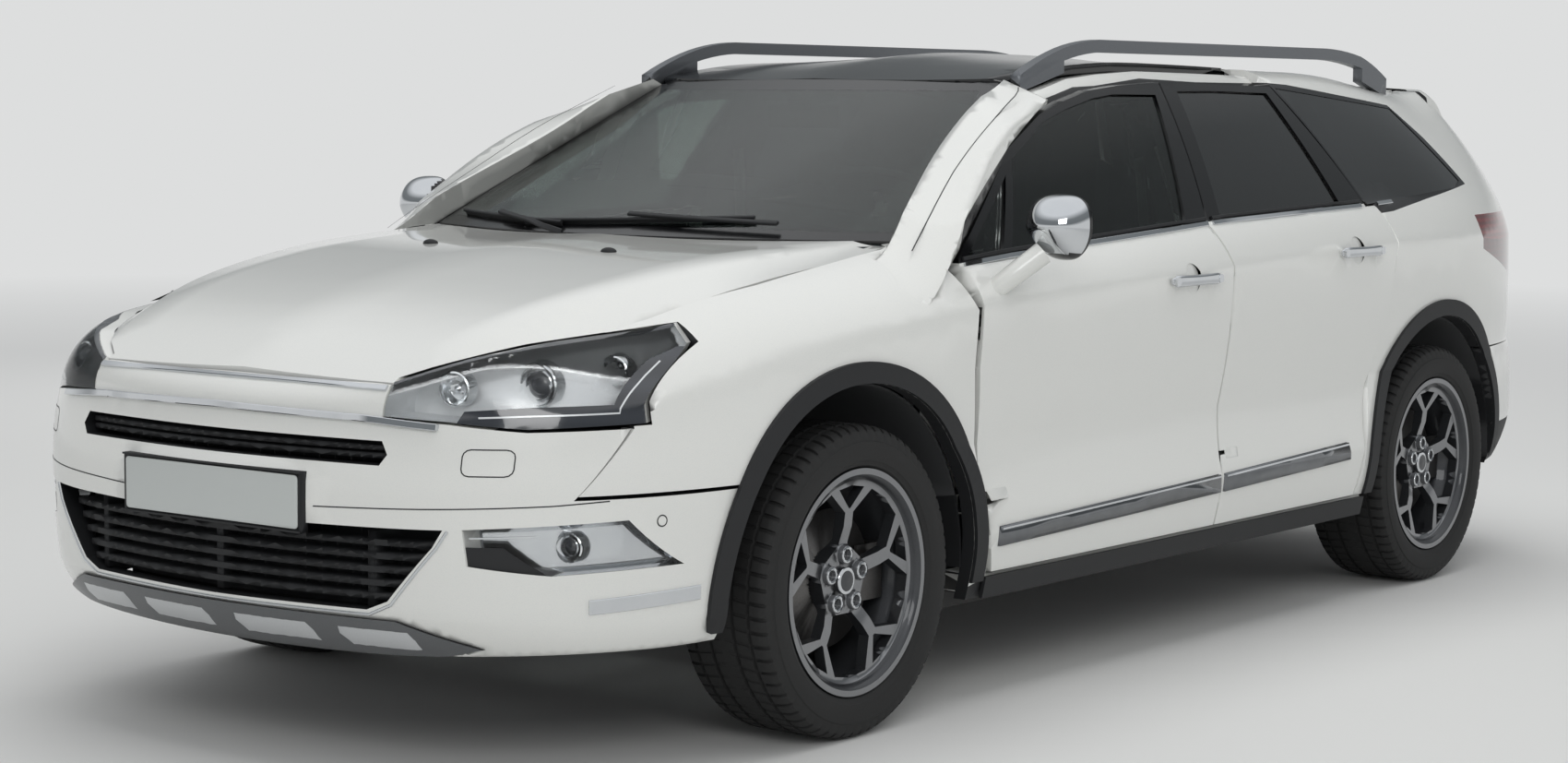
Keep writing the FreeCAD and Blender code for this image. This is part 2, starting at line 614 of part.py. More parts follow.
def cross_hinge(x, y, z, eye_wall=4):
    """A lid's eye and its notch round a pin that lies across the car."""
    eye = rod((x - 12, y, z), (x + 12, y, z), pin_r + eye_wall)
    hole = rod((x - 14, y, z), (x + 14, y, z), pin_r + S.pin_clearance)
    return eye, hole


LID_ROOM = 2
LAMP_SIDE = [(rear_y + 260, belt_z + 52), (rear_y + 268, belt_z - 46), (tail_y - 434, belt_z - 125),
             (tail_y + 30, belt_z - 132), (tail_y + 30, belt_z + 58)]
lamp_zone = side_prism(LAMP_SIDE)
tail_lamp = quarter_skin.common(lamp_zone).cut(gate_prism(half_gap + LID_ROOM))

# Side frames: sill, hinge pillar, centre pillar and the window surround behind the doors, with the hinge brackets
ring_out = half_width - 72 - S.door_wall - 18
ring_in = ring_out - S.pillar_wall
FRONT_APERTURE = [(front_y + 560, sill_z + 130), (middle_y + 60, sill_z + 130), (middle_y + 66, belt_z - 30),
                  (middle_y + 130, roof_z - 132), (front_y + 1257, roof_z - 144), (front_y + 1000, roof_z - 205),
                  (front_y + 800, belt_z + 205), (front_y + 640, belt_z + 60), (front_y + 580, belt_z - 60)]
REAR_APERTURE = [(middle_y + 262, sill_z + 130), (rear_y - 620, sill_z + 130), (rear_y - 500, sill_z + 330),
                 (rear_y - 430, belt_z - 60), (rear_y - 440, belt_z + 60), (middle_y + 720, roof_z - 128),
                 (middle_y + 306, roof_z - 124), (middle_y + 262, belt_z)]
apertures = [side_prism(FRONT_APERTURE), side_prism(REAR_APERTURE)]
RING = [(front_y + 402, S.floor_height), (rear_y - 300, S.floor_height), (rear_y - 300, belt_z + 60),
        (front_y + 800, belt_z + 20), (front_y + 500, belt_z - 20), (front_y + 402, belt_z - 45)]
CLADDING_LIFT = 0.4
low_ring = side_prism(RING, ring_in, ring_out)
rocker_face = flank_wall(half_width - ring_out - 20, CLADDING_LIFT).common(
    box(0, far, front_y + 500, rear_y - 490, sill_z - 52, sill_z - 14))
rocker = box(ring_out - 1, half_width - 46, front_y + 500, rear_y - 440, S.floor_height + 40, sill_z - S.shut_gap)
pillar_back = flank_wall(130, -(S.quarter_wall + 0.5)).common(
    behind(shifted(REAR_SHUT, half_gap), REAR_SLANT)).common(box(ring_out - 1, far, 0, rear_y - 305, 320, belt_z + 60))
top_ring = canopy_inner.common(under_roof_line(half_gap + 20)).common(
    box(0, far, front_y + 460, rear_y - 290, belt_z - 60, roof_z))
side_frame = fuse([low_ring, rocker, rocker_face, pillar_back, hinge_bracket(FRONT_HINGE_Y), hinge_bracket(REAR_HINGE_Y)])
side_frame = side_frame.fuse(top_ring).cut(apertures + [rear_arch])

# Rear quarters: the outer panel from the rear door to the tailgate, round the quarter window
quarter_outline = [(y + half_gap, z) for y, z in reversed(REAR_SHUT[2:])]
quarter_outline += [(y + half_gap, z + 12) for y, z in (REAR_SHUT[1], FRAME_REAR[2])]
quarter_outline.append((FRAME_REAR[1][0] + half_gap, FRAME_REAR[1][1]))
quarter_outline += [(FRAME_REAR[1][0] + half_gap, roof_z + 40), (tail_y + 400, roof_z + 40), (tail_y + 400, 250)]
quarter = quarter_skin.common(side_prism(quarter_outline, 0, None, REAR_SLANT))
quarter = quarter.cut([gate_prism(half_gap + LID_ROOM + 1), lamp_zone, box(0, far, rear_y, tail_y + 60, 0, 658), quarter_hole,
                       rear_arch])
quarter = max(quarter.Solids, key=lambda s: s.Volume)

# Windscreen pillars: the corner of the glass and the door's corner at some heights
PILLAR = (
    ((752, front_y + 200, 936), (876, front_y + 252, 900)),
    ((742, front_y + 290, 990), (864, front_y + 345, 958)),
    ((722, front_y + 378, 1042), (846, front_y + 436, 1016)),
    ((648, front_y + 630, 1172), (796, front_y + 640, 1158)),
    ((592, front_y + 862, 1292), (735, front_y + 858, 1268)),
    ((545, front_y + 1078, 1400), (684, front_y + 1062, 1350)),
)
PILLAR_DEPTH = 56
pillar_wires = []
run = Vector(-0.22, 0.87, 0.44)
for inner_edge, outer_edge in PILLAR:
    a, b = Vector(*inner_edge), Vector(*outer_edge)
    out = run.cross(a - b).normalize() * -1
    crest = (a + b) / 2 + out * 16
    pillar_wires.append(Part.Wire([
        Part.Arc(a, crest, b).toShape(), Part.LineSegment(b, b - out * PILLAR_DEPTH).toShape(),
        Part.LineSegment(b - out * PILLAR_DEPTH, a - out * PILLAR_DEPTH).toShape(),
        Part.LineSegment(a - out * PILLAR_DEPTH, a).toShape()]))
pillar = Part.makeLoft(pillar_wires, True, False)
cantrail = canopy_wall(inner_depth).common(side_prism(
    [(front_y + 1010, roof_z - 200)] + [(y, z + half_gap) for y, z in ROOF_LINE[2:]]
    + [(middle_y + 815, roof_z - 80), (middle_y + 815, roof_z + 20), (front_y + 1010, roof_z + 20)]))
door_room = canopy_wall(inner_depth + 30, 30).common(under_roof_line(half_gap)).common(
    behind(shifted(FRONT_SHUT, -half_gap)))
pillar = pillar.cut(door_room)
pillar = max(pillar.Solids, key=lambda s: s.Volume)
roof_side = cantrail.fuse(pillar)
door_sweep = Part.makeCylinder(137, 110, Vector(hinge_x, REAR_HINGE_Y, belt_z + 5))
side_frame = side_frame.cut([quarter, pillar, door_sweep])
side_frame = max(side_frame.Solids, key=lambda s: s.Volume)

# Windscreen: height, corner's x and y, middle's y
SCREEN = (
    (1015, 733, front_y + 332, front_y + 140),
    (1220, 642, front_y + 714, front_y + 568),
    (1432, 532, front_y + 1130, front_y + 1034),
)
SCREEN_DEPTH = 11
screen_wires = []
for z, x, y_corner, y_middle in SCREEN:
    wire = [Part.Arc(Vector(x, y_corner, z), Vector(0, y_middle, z), Vector(-x, y_corner, z)).toShape(),
            Part.LineSegment(Vector(-x, y_corner, z), Vector(-x, y_corner + SCREEN_DEPTH, z)).toShape(),
            Part.Arc(Vector(-x, y_corner + SCREEN_DEPTH, z), Vector(0, y_middle + SCREEN_DEPTH, z),
                     Vector(x, y_corner + SCREEN_DEPTH, z)).toShape(),
            Part.LineSegment(Vector(x, y_corner + SCREEN_DEPTH, z), Vector(x, y_corner, z)).toShape()]
    screen_wires.append(Part.Wire(wire))
screen_region = top_prism([(-728, front_y + 400, 48), (0, front_y + 208, 48), (728, front_y + 400),
                           (600, front_y + 1092, -22), (0, front_y + 1004, -22), (-600, front_y + 1092)],
                          900, roof_z + 50)
windscreen = Part.makeLoft(screen_wires, True, False).common(screen_region)

# Roof panel and headers
roof_edge = half_width - 330 - inner_depth - half_gap
rear_edge = half_width - 338 - S.quarter_wall - half_gap
roof_back = gate_hinge_y - GATE_NOSE - S.shut_gap
roof_front = front_y + 1026
roof_panel = roof_skin.common(top_prism(
    [(-545, roof_front + 62, 15), (0, roof_front, 15), (545, roof_front + 62), (roof_edge, roof_front + 200),
     (roof_edge, middle_y + 735), (rear_edge, middle_y + 748), (rear_edge - 12, roof_back),
     (12 - rear_edge, roof_back), (-rear_edge, middle_y + 748), (-roof_edge, middle_y + 735),
     (-roof_edge, roof_front + 200)], 1200, roof_z + 40))
roof_ribs = roof_sheet(S.panel_wall + 14, S.panel_wall / 2)
HEADER_OVERLAP = 34
headers = []
for y, length in ((front_y + 1120, 50), (roof_back - 70, 60)):
    half = roof_ribs.common(box(-1, roof_edge + HEADER_OVERLAP, y, y + length, 1000, far + roof_z)).cut([roof_side, quarter])
    half = max(half.Solids, key=lambda s: s.Volume)
    headers += [half, mirrored(half)]
gate_arms = []
for sign in (-1, 1):
    x = sign * GATE_HINGE_X
    gate_arms.append(rod((x - 34, gate_hinge_y, gate_hinge_z), (x + 34, gate_hinge_y, gate_hinge_z), pin_r))
    for low in (x - 34, x + 16):
        gate_arms.append(box(low, low + 18, roof_back - 60, gate_hinge_y, gate_hinge_z - 10, gate_hinge_z))
        gate_arms.append(rod((low, gate_hinge_y, gate_hinge_z), (low + 18, gate_hinge_y, gate_hinge_z), pin_r + 4))
    notch = rod((x - 44, gate_hinge_y, gate_hinge_z), (x + 44, gate_hinge_y, gate_hinge_z), pin_r + 7)
    slot = box(x - 44, x + 44, gate_hinge_y - 60, gate_hinge_y, gate_hinge_z - 40, gate_hinge_z + 30)
    eye, hole = cross_hinge(x, gate_hinge_y, gate_hinge_z)
    leaf = box(x - 12, x + 12, gate_hinge_y, gate_hinge_y + 30, gate_hinge_z - 10, gate_hinge_z + 4)
    gate = fuse([gate.cut([notch, slot]), eye.fuse(leaf)]).cut(hole)
roof_side = roof_side.cut(windscreen)
roof_panel = fuse([roof_panel] + headers + gate_arms)

# Bonnet
BONNET_PLAN = [(0, front_y + 196, 13), (390, front_y + 248, 4), (722, front_y + 352), (735, front_y + 290),
               (733, front_y - 148), (704, front_y - 465), (640, front_y - 760), (520, front_y - 900),
               (432, front_y - 922), (0, front_y - 925)]


def bonnet_prism(grow):
    outline = [(x + (grow if x > 600 else 0), y + (grow if y > front_y + 150 else -grow), bulge)
               for x, y, bulge in flat(BONNET_PLAN)]
    return top_prism(symmetric(outline), 600, 1200)


NOSE_LAMP = [(436, 738), (436, 804), (600, 868), (760, 912), (802, 874), (832, 726), (704, 720), (566, 733)]


def lamp_prism(grow):
    """The headlamp's outline seen from the front, a little larger by the gap round it."""
    middle_x, middle_z = 640, 790
    outline = [(x + grow * (1 if x > middle_x else -1), z + grow * (1 if z > middle_z else -1)) for x, z in NOSE_LAMP]
    return front_prism(outline, nose_y - 60, front_y - 425)


lamp_cut = lamp_prism(half_gap)
LID_CLEARANCE = 7
lid_cut = lamp_prism(LID_CLEARANCE)
bonnet = bonnet_skin.common(bonnet_prism(-half_gap)).cut([lid_cut, mirrored(lid_cut)])
bonnet_hinge_y, bonnet_hinge_z, BONNET_HINGE_X = front_y + 318, 1022, 655
bonnet_arms = []
for sign in (-1, 1):
    x = sign * BONNET_HINGE_X
    bonnet_arms.append(rod((x - 30, bonnet_hinge_y, bonnet_hinge_z), (x + 30, bonnet_hinge_y, bonnet_hinge_z), pin_r))
    for low in (x - 30, x + 16):
        bonnet_arms.append(box(low, low + 14, bonnet_hinge_y - 10, bonnet_hinge_y + 10, 940, bonnet_hinge_z))
        bonnet_arms.append(box(low, low + 14, bonnet_hinge_y - 10, bonnet_hinge_y + 60, 940, 985))
        bonnet_arms.append(rod((low, bonnet_hinge_y, bonnet_hinge_z), (low + 14, bonnet_hinge_y, bonnet_hinge_z), 10))
    notch = box(x - 38, x + 38, bonnet_hinge_y - 22, bonnet_hinge_y + 70, 900, bonnet_hinge_z + 17)
    eye, hole = cross_hinge(x, bonnet_hinge_y, bonnet_hinge_z)
    leaf = box(x - 12, x + 12, bonnet_hinge_y - 40, bonnet_hinge_y, bonnet_hinge_z - 4, bonnet_hinge_z + 10)
    bonnet = fuse([bonnet.cut(notch), eye.fuse(leaf)]).cut(hole)

# Front wings
BUMPER_SIDE = [(nose_y - 60, 200), (front_y + 60, 200), (front_y + 60, 584), (nose_y + 255, 584), (nose_y + 372, 716),
               (nose_y + 372, 760), (nose_y - 60, 960)]


def bumper_zone(grow):
    points = [(y + (grow if 0 < y - nose_y < 400 else 0), z + (grow if z == 584 else 0)) for y, z in BUMPER_SIDE]
    return side_prism(points, 0)


wing = wing_skin.common(ahead(shifted(FRONT_SHUT, -half_gap - LID_ROOM), SHUT_SLANT))
wing = wing.cut([bumper_zone(half_gap), front_arch, lamp_cut, bonnet_prism(half_gap + LID_ROOM)]).cut(pillar)
wing = max(wing.Solids, key=lambda s: s.Volume)

# Bumpers
TOP_OF_BUMPER = [(0, 200), (far, 200), (far, 720), (704, 714), (566, 728), (432, 732), (432, 840), (0, 840)]
GRILLE_SLOT = [(0, 642), (440, 642), (456, 664), (440, 690), (0, 690)]
GRILLE_LOW = [(0, 349), (405, 352), (455, 372), (556, 486), (577, 522), (0, 512)]
FOG = [(618, 452), (612, 524), (830, 537), (868, 440), (744, 432)]
bumper = nose_skin.common(fuse([bumper_zone(-half_gap), mirrored(bumper_zone(-half_gap))]))
bumper = bumper.common(front_prism(symmetric(TOP_OF_BUMPER), nose_y - 60, front_y + 60))
fog_space = front_prism(FOG, nose_y - 60, front_y - S.arch_radius - 14)
openings = [front_prism(symmetric(GRILLE_SLOT), nose_y - 60, nose_y + 300),
            front_prism(symmetric(GRILLE_LOW), nose_y - 60, nose_y + 300),
            fog_space, mirrored(fog_space)]
bumper = bumper.cut(openings + [front_arch, mirrored(front_arch), bonnet_prism(half_gap)])
bumper = bumper.common(box(-far, far, nose_y - 60, front_y - S.arch_radius + 60, 0, 900))
SKID = [(0, 243), (470, 243), (620, 280), (600, 288), (470, 333), (0, 333)]
skid_front = nose_wall(30, 8).common(front_prism(symmetric(SKID), nose_y - 60, nose_y + 400))
FRONT_PLATE_Z = 503
plate_low, plate_high = FRONT_PLATE_Z - PLATE_EDGE, FRONT_PLATE_Z + PLATE_HEIGHT + PLATE_EDGE
plate_wide = PLATE_HALF + PLATE_EDGE
plate_room = box(-plate_wide, plate_wide, nose_y - 20, nose_y + 5, plate_low, plate_high)
plate_holder = [box(-plate_wide, plate_wide, nose_y + 5, nose_y + 23, plate_low, plate_high),
                box(-PLATE_HALF, PLATE_HALF, nose_y + 4, nose_y + 6, FRONT_PLATE_Z, FRONT_PLATE_Z + PLATE_HEIGHT),
                box(-plate_wide, plate_wide, nose_y, nose_y + 6, plate_low, plate_low + 4),
                box(-plate_wide, plate_wide, nose_y, nose_y + 6, plate_high - 4, plate_high)]
bumper = fuse([bumper.cut([skid_front, plate_room])] + plate_holder)
lamp_front = nose_wall(88).common(lamp_prism(0))
fog_lamp = nose_wall(60, -4).common(fog_space)
rear_bumper = tail_skin.common(box(-far, far, rear_y + 300, tail_y + 60, 290, 658 - half_gap))
rear_bumper = rear_bumper.cut([rear_arch, mirrored(rear_arch)])
skid_back = tail_wall(20, 6).common(front_prism(symmetric([(0, 296), (520, 296), (500, 350), (0, 350)]),
                                               tail_y - 300, tail_y + 60))
rear_bumper = rear_bumper.cut(skid_back)

# Grille: slats that follow the nose's plan, in front of a back plate
def nose_strip(depth, thickness, reach, z_from, z_to):
    """A flat strip at a depth behind the nose's face, as wide as reach, that follows the nose's plan."""
    front, back = [], []
    for x, y, heading, *_ in NOSE[:3]:
        turn = math.radians(heading)
        front.append((x - depth * math.sin(turn), y + depth * math.cos(turn)))
        back.append((x - (depth + thickness) * math.sin(turn), y + (depth + thickness) * math.cos(turn)))
    bends = (6.5, 9)
    outline = [(0, front[0][1], bends[0]), (front[1][0], front[1][1], bends[1]), front[2], back[2] + (-bends[1],),
               back[1] + (-bends[0],), (0, back[0][1])]
    strip = top_prism(symmetric(outline), z_from, z_to)
    return strip.common(box(-reach, reach, nose_y, nose_y + 260, z_from, z_to))


SLAT = 12
slats = [nose_strip(24, 46, reach, z - SLAT / 2, z + SLAT / 2)
         for z, reach in ((378, 440), (405, 460), (432, 482), (459, 504), (486, 526))]
slats += [nose_strip(24, 46, 436, z - 5, z + 5) for z in (659, 675)]
slats += [box(x - 10, x + 10, nose_y + 24, nose_y + 150, 356, 508).common(nose_strip(30, 40, 600, 356, 508))
          for x in (-402, 0, 402)]
GRILLE_BACK = 69
grille = fuse(slats + [nose_strip(GRILLE_BACK, 8, 530, 352, 692)])
bumper = bumper.fuse(nose_strip(S.bumper_wall / 2, GRILLE_BACK - S.bumper_wall / 2, 300, 545, 615))
nose_band = nose_wall(6, 6.4)
bars = []
BAR_WIDTH = 12
for low in ([(0, 738), (380, 733), (556, 722)], [(0, 797), (396, 792)]):
    outline = [(x, z - BAR_WIDTH / 2) for x, z in low] + [(x, z + BAR_WIDTH / 2) for x, z in reversed(low)]
    bars.append(nose_band.common(front_prism(symmetric(outline), nose_y - 60, nose_y + 200)))
nose_bars = Part.makeCompound([s for b in bars for s in b.Solids])

# Arch and sill cladding
clad_seat = S.cladding_proud + CLADDING_LIFT
clad_nose = wing_wall(S.cladding_proud, clad_seat)
clad_tail = quarter_wall(S.cladding_proud, clad_seat)
clad_flank = flank_wall(S.cladding_proud, clad_seat)


def arch_band(skin, y):
    band = arch(y, S.arch_radius + S.cladding_width, half_width - 60).cut(arch(y, S.arch_radius, half_width - 120))
    return skin.common(band).common(box(500, far, y - 700, y + 700, 285, 1000))


front_band = arch_band(clad_nose, front_y)
rear_band = arch_band(clad_tail, rear_y)
sill_band = clad_flank.common(side_prism([(front_y + 478, 244), (front_y + 478, 294), (rear_y - 478, 294),
                                          (rear_y - 478, 244)]))
rear_bumper = rear_bumper.cut([rear_band, mirrored(rear_band)])
cladding = Part.makeCompound(both(Part.makeCompound([front_band, rear_band, sill_band])).Solids
                            + skid_front.Solids + skid_back.Solids)

# Wheels: everything is turned round a hub line along x

def turned(profile, y, x_middle):
    """A profile (x from the wheel's middle plane, radius, bulge) turned round the axle."""
    wire = ring(flat(profile), lambda u, v: Vector(x_middle + u, y, axle_z + v))
    return Part.Face(wire).revolve(Vector(0, y, axle_z), Vector(1, 0, 0), 360)


bead = S.rim_diameter / 2
rim_half = S.rim_width / 2
tyre_half = S.tyre_width / 2
tread = S.tyre_diameter / 2
DROP = 20
FACE_IN, FACE_OUT = 52, 92
MOUNT_FACE = 35


FLANGE = 11
FLANGE_RISE = 17
SHOULDER = 14


TYRE_SEAT = FLANGE_RISE + 0.3
# The tyre as one solid ring: the seat on the rim's flanges, the shoulder and the tread
TYRE_PROFILE = (
    ("sizes.tyre_width / 2", tyre_half, "sizes.rim_diameter / 2 + %s" % TYRE_SEAT, bead + TYRE_SEAT),
    ("sizes.tyre_width / 2", tyre_half, "sizes.tyre_diameter / 2 - %s" % SHOULDER, tread - SHOULDER),
    ("sizes.tyre_width / 2 - %s" % SHOULDER, tyre_half - SHOULDER, "sizes.tyre_diameter / 2", tread),
)
FRONT_AXLE = "(sizes.front_overhang - sizes.rear_overhang - sizes.wheelbase) / 2"
AXLE_PLACE = {"front": FRONT_AXLE, "rear": FRONT_AXLE + " + sizes.wheelbase"}


SPOKES = 5
RIM_SKIN = 8


def rim(y, x):
    """The rim's barrel with its flanges, bead seats and drop centre."""
    seats = [(-rim_half - FLANGE, bead + FLANGE_RISE), (-rim_half, bead + FLANGE_RISE), (-rim_half + 6, bead),
             (-rim_half + 30, bead), (-42, bead - DROP), (18, bead - DROP), (rim_half - 38, bead),
             (rim_half - 6, bead), (rim_half, bead + FLANGE_RISE), (rim_half + FLANGE, bead + FLANGE_RISE)]
    inside = [(rim_half + FLANGE, bead + 4), (rim_half + 2, bead - RIM_SKIN), (rim_half - 36, bead - RIM_SKIN),
              (20, bead - DROP - RIM_SKIN), (-44, bead - DROP - RIM_SKIN), (-rim_half + 28, bead - RIM_SKIN),
              (-rim_half - 2, bead - RIM_SKIN), (-rim_half - FLANGE, bead + 4)]
    return turned(seats + inside, y, x)


# Openings of the wheel's face as (radius, degrees from the opening's middle line): between two arms, and inside an
# arm's fork
BETWEEN_ARMS = [(80, -25), (150, -30.6), (207, -15.5), (209, 0), (207, 15.5), (150, 30.6), (80, 25)]
IN_FORK = [(158, -1), (206, -12.5), (208, 0), (206, 12.5), (158, 1)]
COLLAR = (57, 20, 12)


def face_opening(outline, middle, y, x):
    """A prism through the wheel's face from an outline of radii and angles."""
    points = []
    for radius, angle in outline:
        turn = math.radians(90 + middle + angle)
        points.append(Vector(x, y + radius * math.cos(turn), axle_z + radius * math.sin(turn)))
    return Part.Face(Part.makePolygon(points + points[:1])).extrude(Vector(140, 0, 0))


def wheel_disc(y, x):
    """The dished face of the wheel with five arms that fork at the rim, the collars of its five bolts, its cap and
    the brake disc behind it."""
    face = turned([(MOUNT_FACE, 0), (MOUNT_FACE, 72), (FACE_IN, 92), (FACE_IN + 14, bead - 14),
                   (FACE_IN + 16, bead - 4), (FACE_OUT, bead - 4), (FACE_OUT, bead - 22), (FACE_OUT - 10, 120),
                   (FACE_OUT - 22, 84), (FACE_OUT - 24, 0)], y, x)
    cuts = []
    collars = [turned([(MOUNT_FACE + 10, 0), (MOUNT_FACE + 10, 31), (FACE_OUT - 14, 29), (FACE_OUT - 11, 24),
                       (FACE_OUT - 10, 0)], y, x)]
    reach, outer, inner = COLLAR
    for i in range(SPOKES):
        step = i * 360 / SPOKES
        cuts.append(face_opening(BETWEEN_ARMS, step + 180 / SPOKES, y, x))
        cuts.append(face_opening(IN_FORK, step, y, x))
        turn = math.radians(90 + step)
        at_y, at_z = y + reach * math.cos(turn), axle_z + reach * math.sin(turn)
        collars.append(rod((x + MOUNT_FACE + 4, at_y, at_z), (x + FACE_OUT - 10, at_y, at_z), outer))
        cuts.append(rod((x + FACE_OUT - 26, at_y, at_z), (x + FACE_OUT + 2, at_y, at_z), inner))
    face = fuse([face] + collars).cut(cuts)
    disc = turned([(MOUNT_FACE - S.disc_wall - 8, 70), (MOUNT_FACE - S.disc_wall - 8, S.disc_diameter / 2),
                   (MOUNT_FACE - 8, S.disc_diameter / 2), (MOUNT_FACE - 8, 70), (MOUNT_FACE, 70), (MOUNT_FACE, 0),
                   (MOUNT_FACE - 8, 0), (MOUNT_FACE - 8, 60), (MOUNT_FACE - S.disc_wall - 8, 60)], y, x)
    hub = turned([(MOUNT_FACE, 34), (-4, 34), (-4, 20 + S.pin_clearance), (MOUNT_FACE, 20 + S.pin_clearance)], y, x)
    return fuse([face, disc, hub])


wheel_places = (("front", front_y, S.front_track / 2), ("rear", rear_y, S.rear_track / 2))
for end, y, x in wheel_places:
    rim_shape = fuse([rim(y, x), wheel_disc(y, x)])
    for side, turn, sign in SIDES:
        nodes.append(turned_body("tyre_%s_%s" % (end, side), TYRE_PROFILE,
                                 ("%d * sizes.%s_track / 2" % (sign, end), AXLE_PLACE[end],
                                  "sizes.tyre_diameter / 2")))
        node("rim_%s_%s" % (end, side), turn(rim_shape))

# Steering knuckles with their calipers, on a vertical line between two ball joints
king_x = S.front_track / 2 - S.kingpin_inset
KNUCKLE_TOP, KNUCKLE_LOW = axle_z + 128, axle_z - 105
BALL_PIN = 10


def hub_carrier(y, x, inner):
    """A carrier's bearing barrel, its stub axle and its caliper over the disc."""
    barrel = rod((inner, y, axle_z), (x - 6, y, axle_z), 52)
    stub = rod((x - 8, y, axle_z), (x + MOUNT_FACE - 10, y, axle_z), 20)
    disc_in, disc_out = x + MOUNT_FACE - S.disc_wall - 8, x + MOUNT_FACE - 8
    reach = S.disc_diameter / 2
    block = box(disc_in - 34, disc_out + 12, y + 92, y + 185, axle_z - 62, axle_z + 62)
    gap = box(disc_in - 5, disc_out + 5, y + 40, y + reach + 6, axle_z - 90, axle_z + 90)
    ears = box(disc_in - 34, disc_in - 14, y + 40, y + 100, axle_z - 40, axle_z + 40)
    caliper = block.cut(gap)
    return fuse([barrel, stub, caliper, ears, box(disc_in - 60, disc_in - 14, y + 20, y + 60, axle_z - 40, axle_z + 40)])


carrier = hub_carrier(front_y, S.front_track / 2, king_x - 14)
upright = box(king_x - 20, king_x + 22, front_y - 24, front_y + 24, KNUCKLE_LOW, KNUCKLE_TOP)
steer_arm = box(king_x - 30, king_x - 4, front_y + 10, front_y + 120, axle_z - 80, axle_z - 60)
arm_root = box(king_x - 20, king_x + 10, front_y, front_y + 30, axle_z - 90, axle_z - 50)
ball_holes = [rod((king_x, front_y, z0), (king_x, front_y, z1), BALL_PIN + S.pin_clearance)
              for z0, z1 in ((KNUCKLE_TOP - 30, KNUCKLE_TOP + 1), (KNUCKLE_LOW - 1, KNUCKLE_LOW + 30))]
knuckle = fuse([carrier, upright, steer_arm, arm_root]).cut(ball_holes)
for side, turn, _ in SIDES:
    node("knuckle_" + side, turn(knuckle))

# Front subframe with arms, spring struts and the ball pins of the knuckles
tower_x, tower_z = 552, 850
arm_parts = [
    box(-340, 340, front_y - 60, front_y + 90, 215, 280),
    box(-250, -190, front_y - 560, front_y - 50, 232, 292), box(190, 250, front_y - 560, front_y - 50, 232, 292),
    box(-250, -190, front_y + 80, front_y + 400, 205, 262), box(190, 250, front_y + 80, front_y + 400, 205, 262),
]
for sign in (-1, 1):
    low_arm = top_prism([(sign * 300, front_y - 60), (sign * 300, front_y + 90), (sign * (king_x + 16), front_y + 20),
                         (sign * (king_x + 16), front_y - 20)], KNUCKLE_LOW - 31, KNUCKLE_LOW - 1)
    pin_low = rod((sign * king_x, front_y, KNUCKLE_LOW - 10), (sign * king_x, front_y, KNUCKLE_LOW + 26), BALL_PIN)
    high_arm = top_prism([(sign * 440, front_y - 70), (sign * 440, front_y + 70), (sign * (king_x + 16), front_y + 14),
                          (sign * (king_x + 16), front_y - 14)], KNUCKLE_TOP + 1, KNUCKLE_TOP + 23)
    pin_high = rod((sign * king_x, front_y, KNUCKLE_TOP - 26), (sign * king_x, front_y, KNUCKLE_TOP + 10), BALL_PIN)
    strut = fuse([rod((sign * tower_x, front_y, KNUCKLE_LOW - 5), (sign * tower_x, front_y, 430), 24),
                  rod((sign * tower_x, front_y, 560), (sign * tower_x, front_y, tower_z), 46),
                  rod((sign * tower_x, front_y, 400), (sign * tower_x, front_y, 600), 16)])
    arm_parts += [low_arm, pin_low, high_arm, pin_high, strut]
subframe = fuse(arm_parts)

# Floor pan: floor, tunnel, bulkhead, rails, inner wings, strut towers and load floor
floor_top = S.floor_height + S.floor_wall
bulkhead_y = front_y + 428
BULKHEAD_TOP = 940
LOAD_FLOOR = 540
LOAD_BOARD = 12
floor_parts = [
    box(-ring_in, ring_in, front_y + 402, rear_y - 470, S.floor_height, floor_top),
    box(-140, 140, front_y + 402, rear_y - 470, S.floor_height, floor_top + 170),
    box(-ring_in, ring_in, front_y + 402, bulkhead_y, S.floor_height, BULKHEAD_TOP),
    box(-ring_in, ring_in, rear_y - 496, rear_y - 470, S.floor_height, LOAD_FLOOR),
    box(-600, 600, rear_y - 496, tail_y - 150, LOAD_FLOOR - S.floor_wall, LOAD_FLOOR),
    box(-520, 520, tail_y - 176, tail_y - 150, LOAD_FLOOR - 160, LOAD_FLOOR + 60),
    box(-470, 470, rear_y - 40, tail_y - 200, LOAD_FLOOR - 1, LOAD_FLOOR + LOAD_BOARD),
    box(-428, 428, front_y - 860, front_y - 820, 320, 372), box(-428, 428, front_y - 860, front_y - 820, 690, 732),
    box(-428, -368, front_y - 860, front_y - 820, 320, 732), box(368, 428, front_y - 860, front_y - 820, 320, 732),
]
for sign in (-1, 1):
    a, b = sorted((sign * 360, sign * 428))
    floor_parts.append(box(a, b, front_y - 860, front_y + 400, 420, 520))
    a, b = sorted((sign * 428, sign * 446))
    floor_parts.append(side_prism([(front_y - 770, 440), (front_y + 400, 440), (front_y + 400, 850),
                                   (front_y - 330, 850), (front_y - 770, 690)], a, b))
    a, b = sorted((sign * 428, sign * 640))
    floor_parts.append(box(a, b, front_y - 70, front_y + 70, tower_z, tower_z + 26))
    a, b = sorted((sign * 500, sign * 560))
    floor_parts.append(box(a, b, rear_y - 480, tail_y - 160, LOAD_FLOOR - 100, LOAD_FLOOR - 20))
tunnel_hollow = box(-110, 110, front_y + 360, rear_y - 440, S.floor_height - 10, floor_top + 140)
floor_pan = fuse(floor_parts).cut([tunnel_hollow])
floor_pan = floor_pan.cut([subframe])

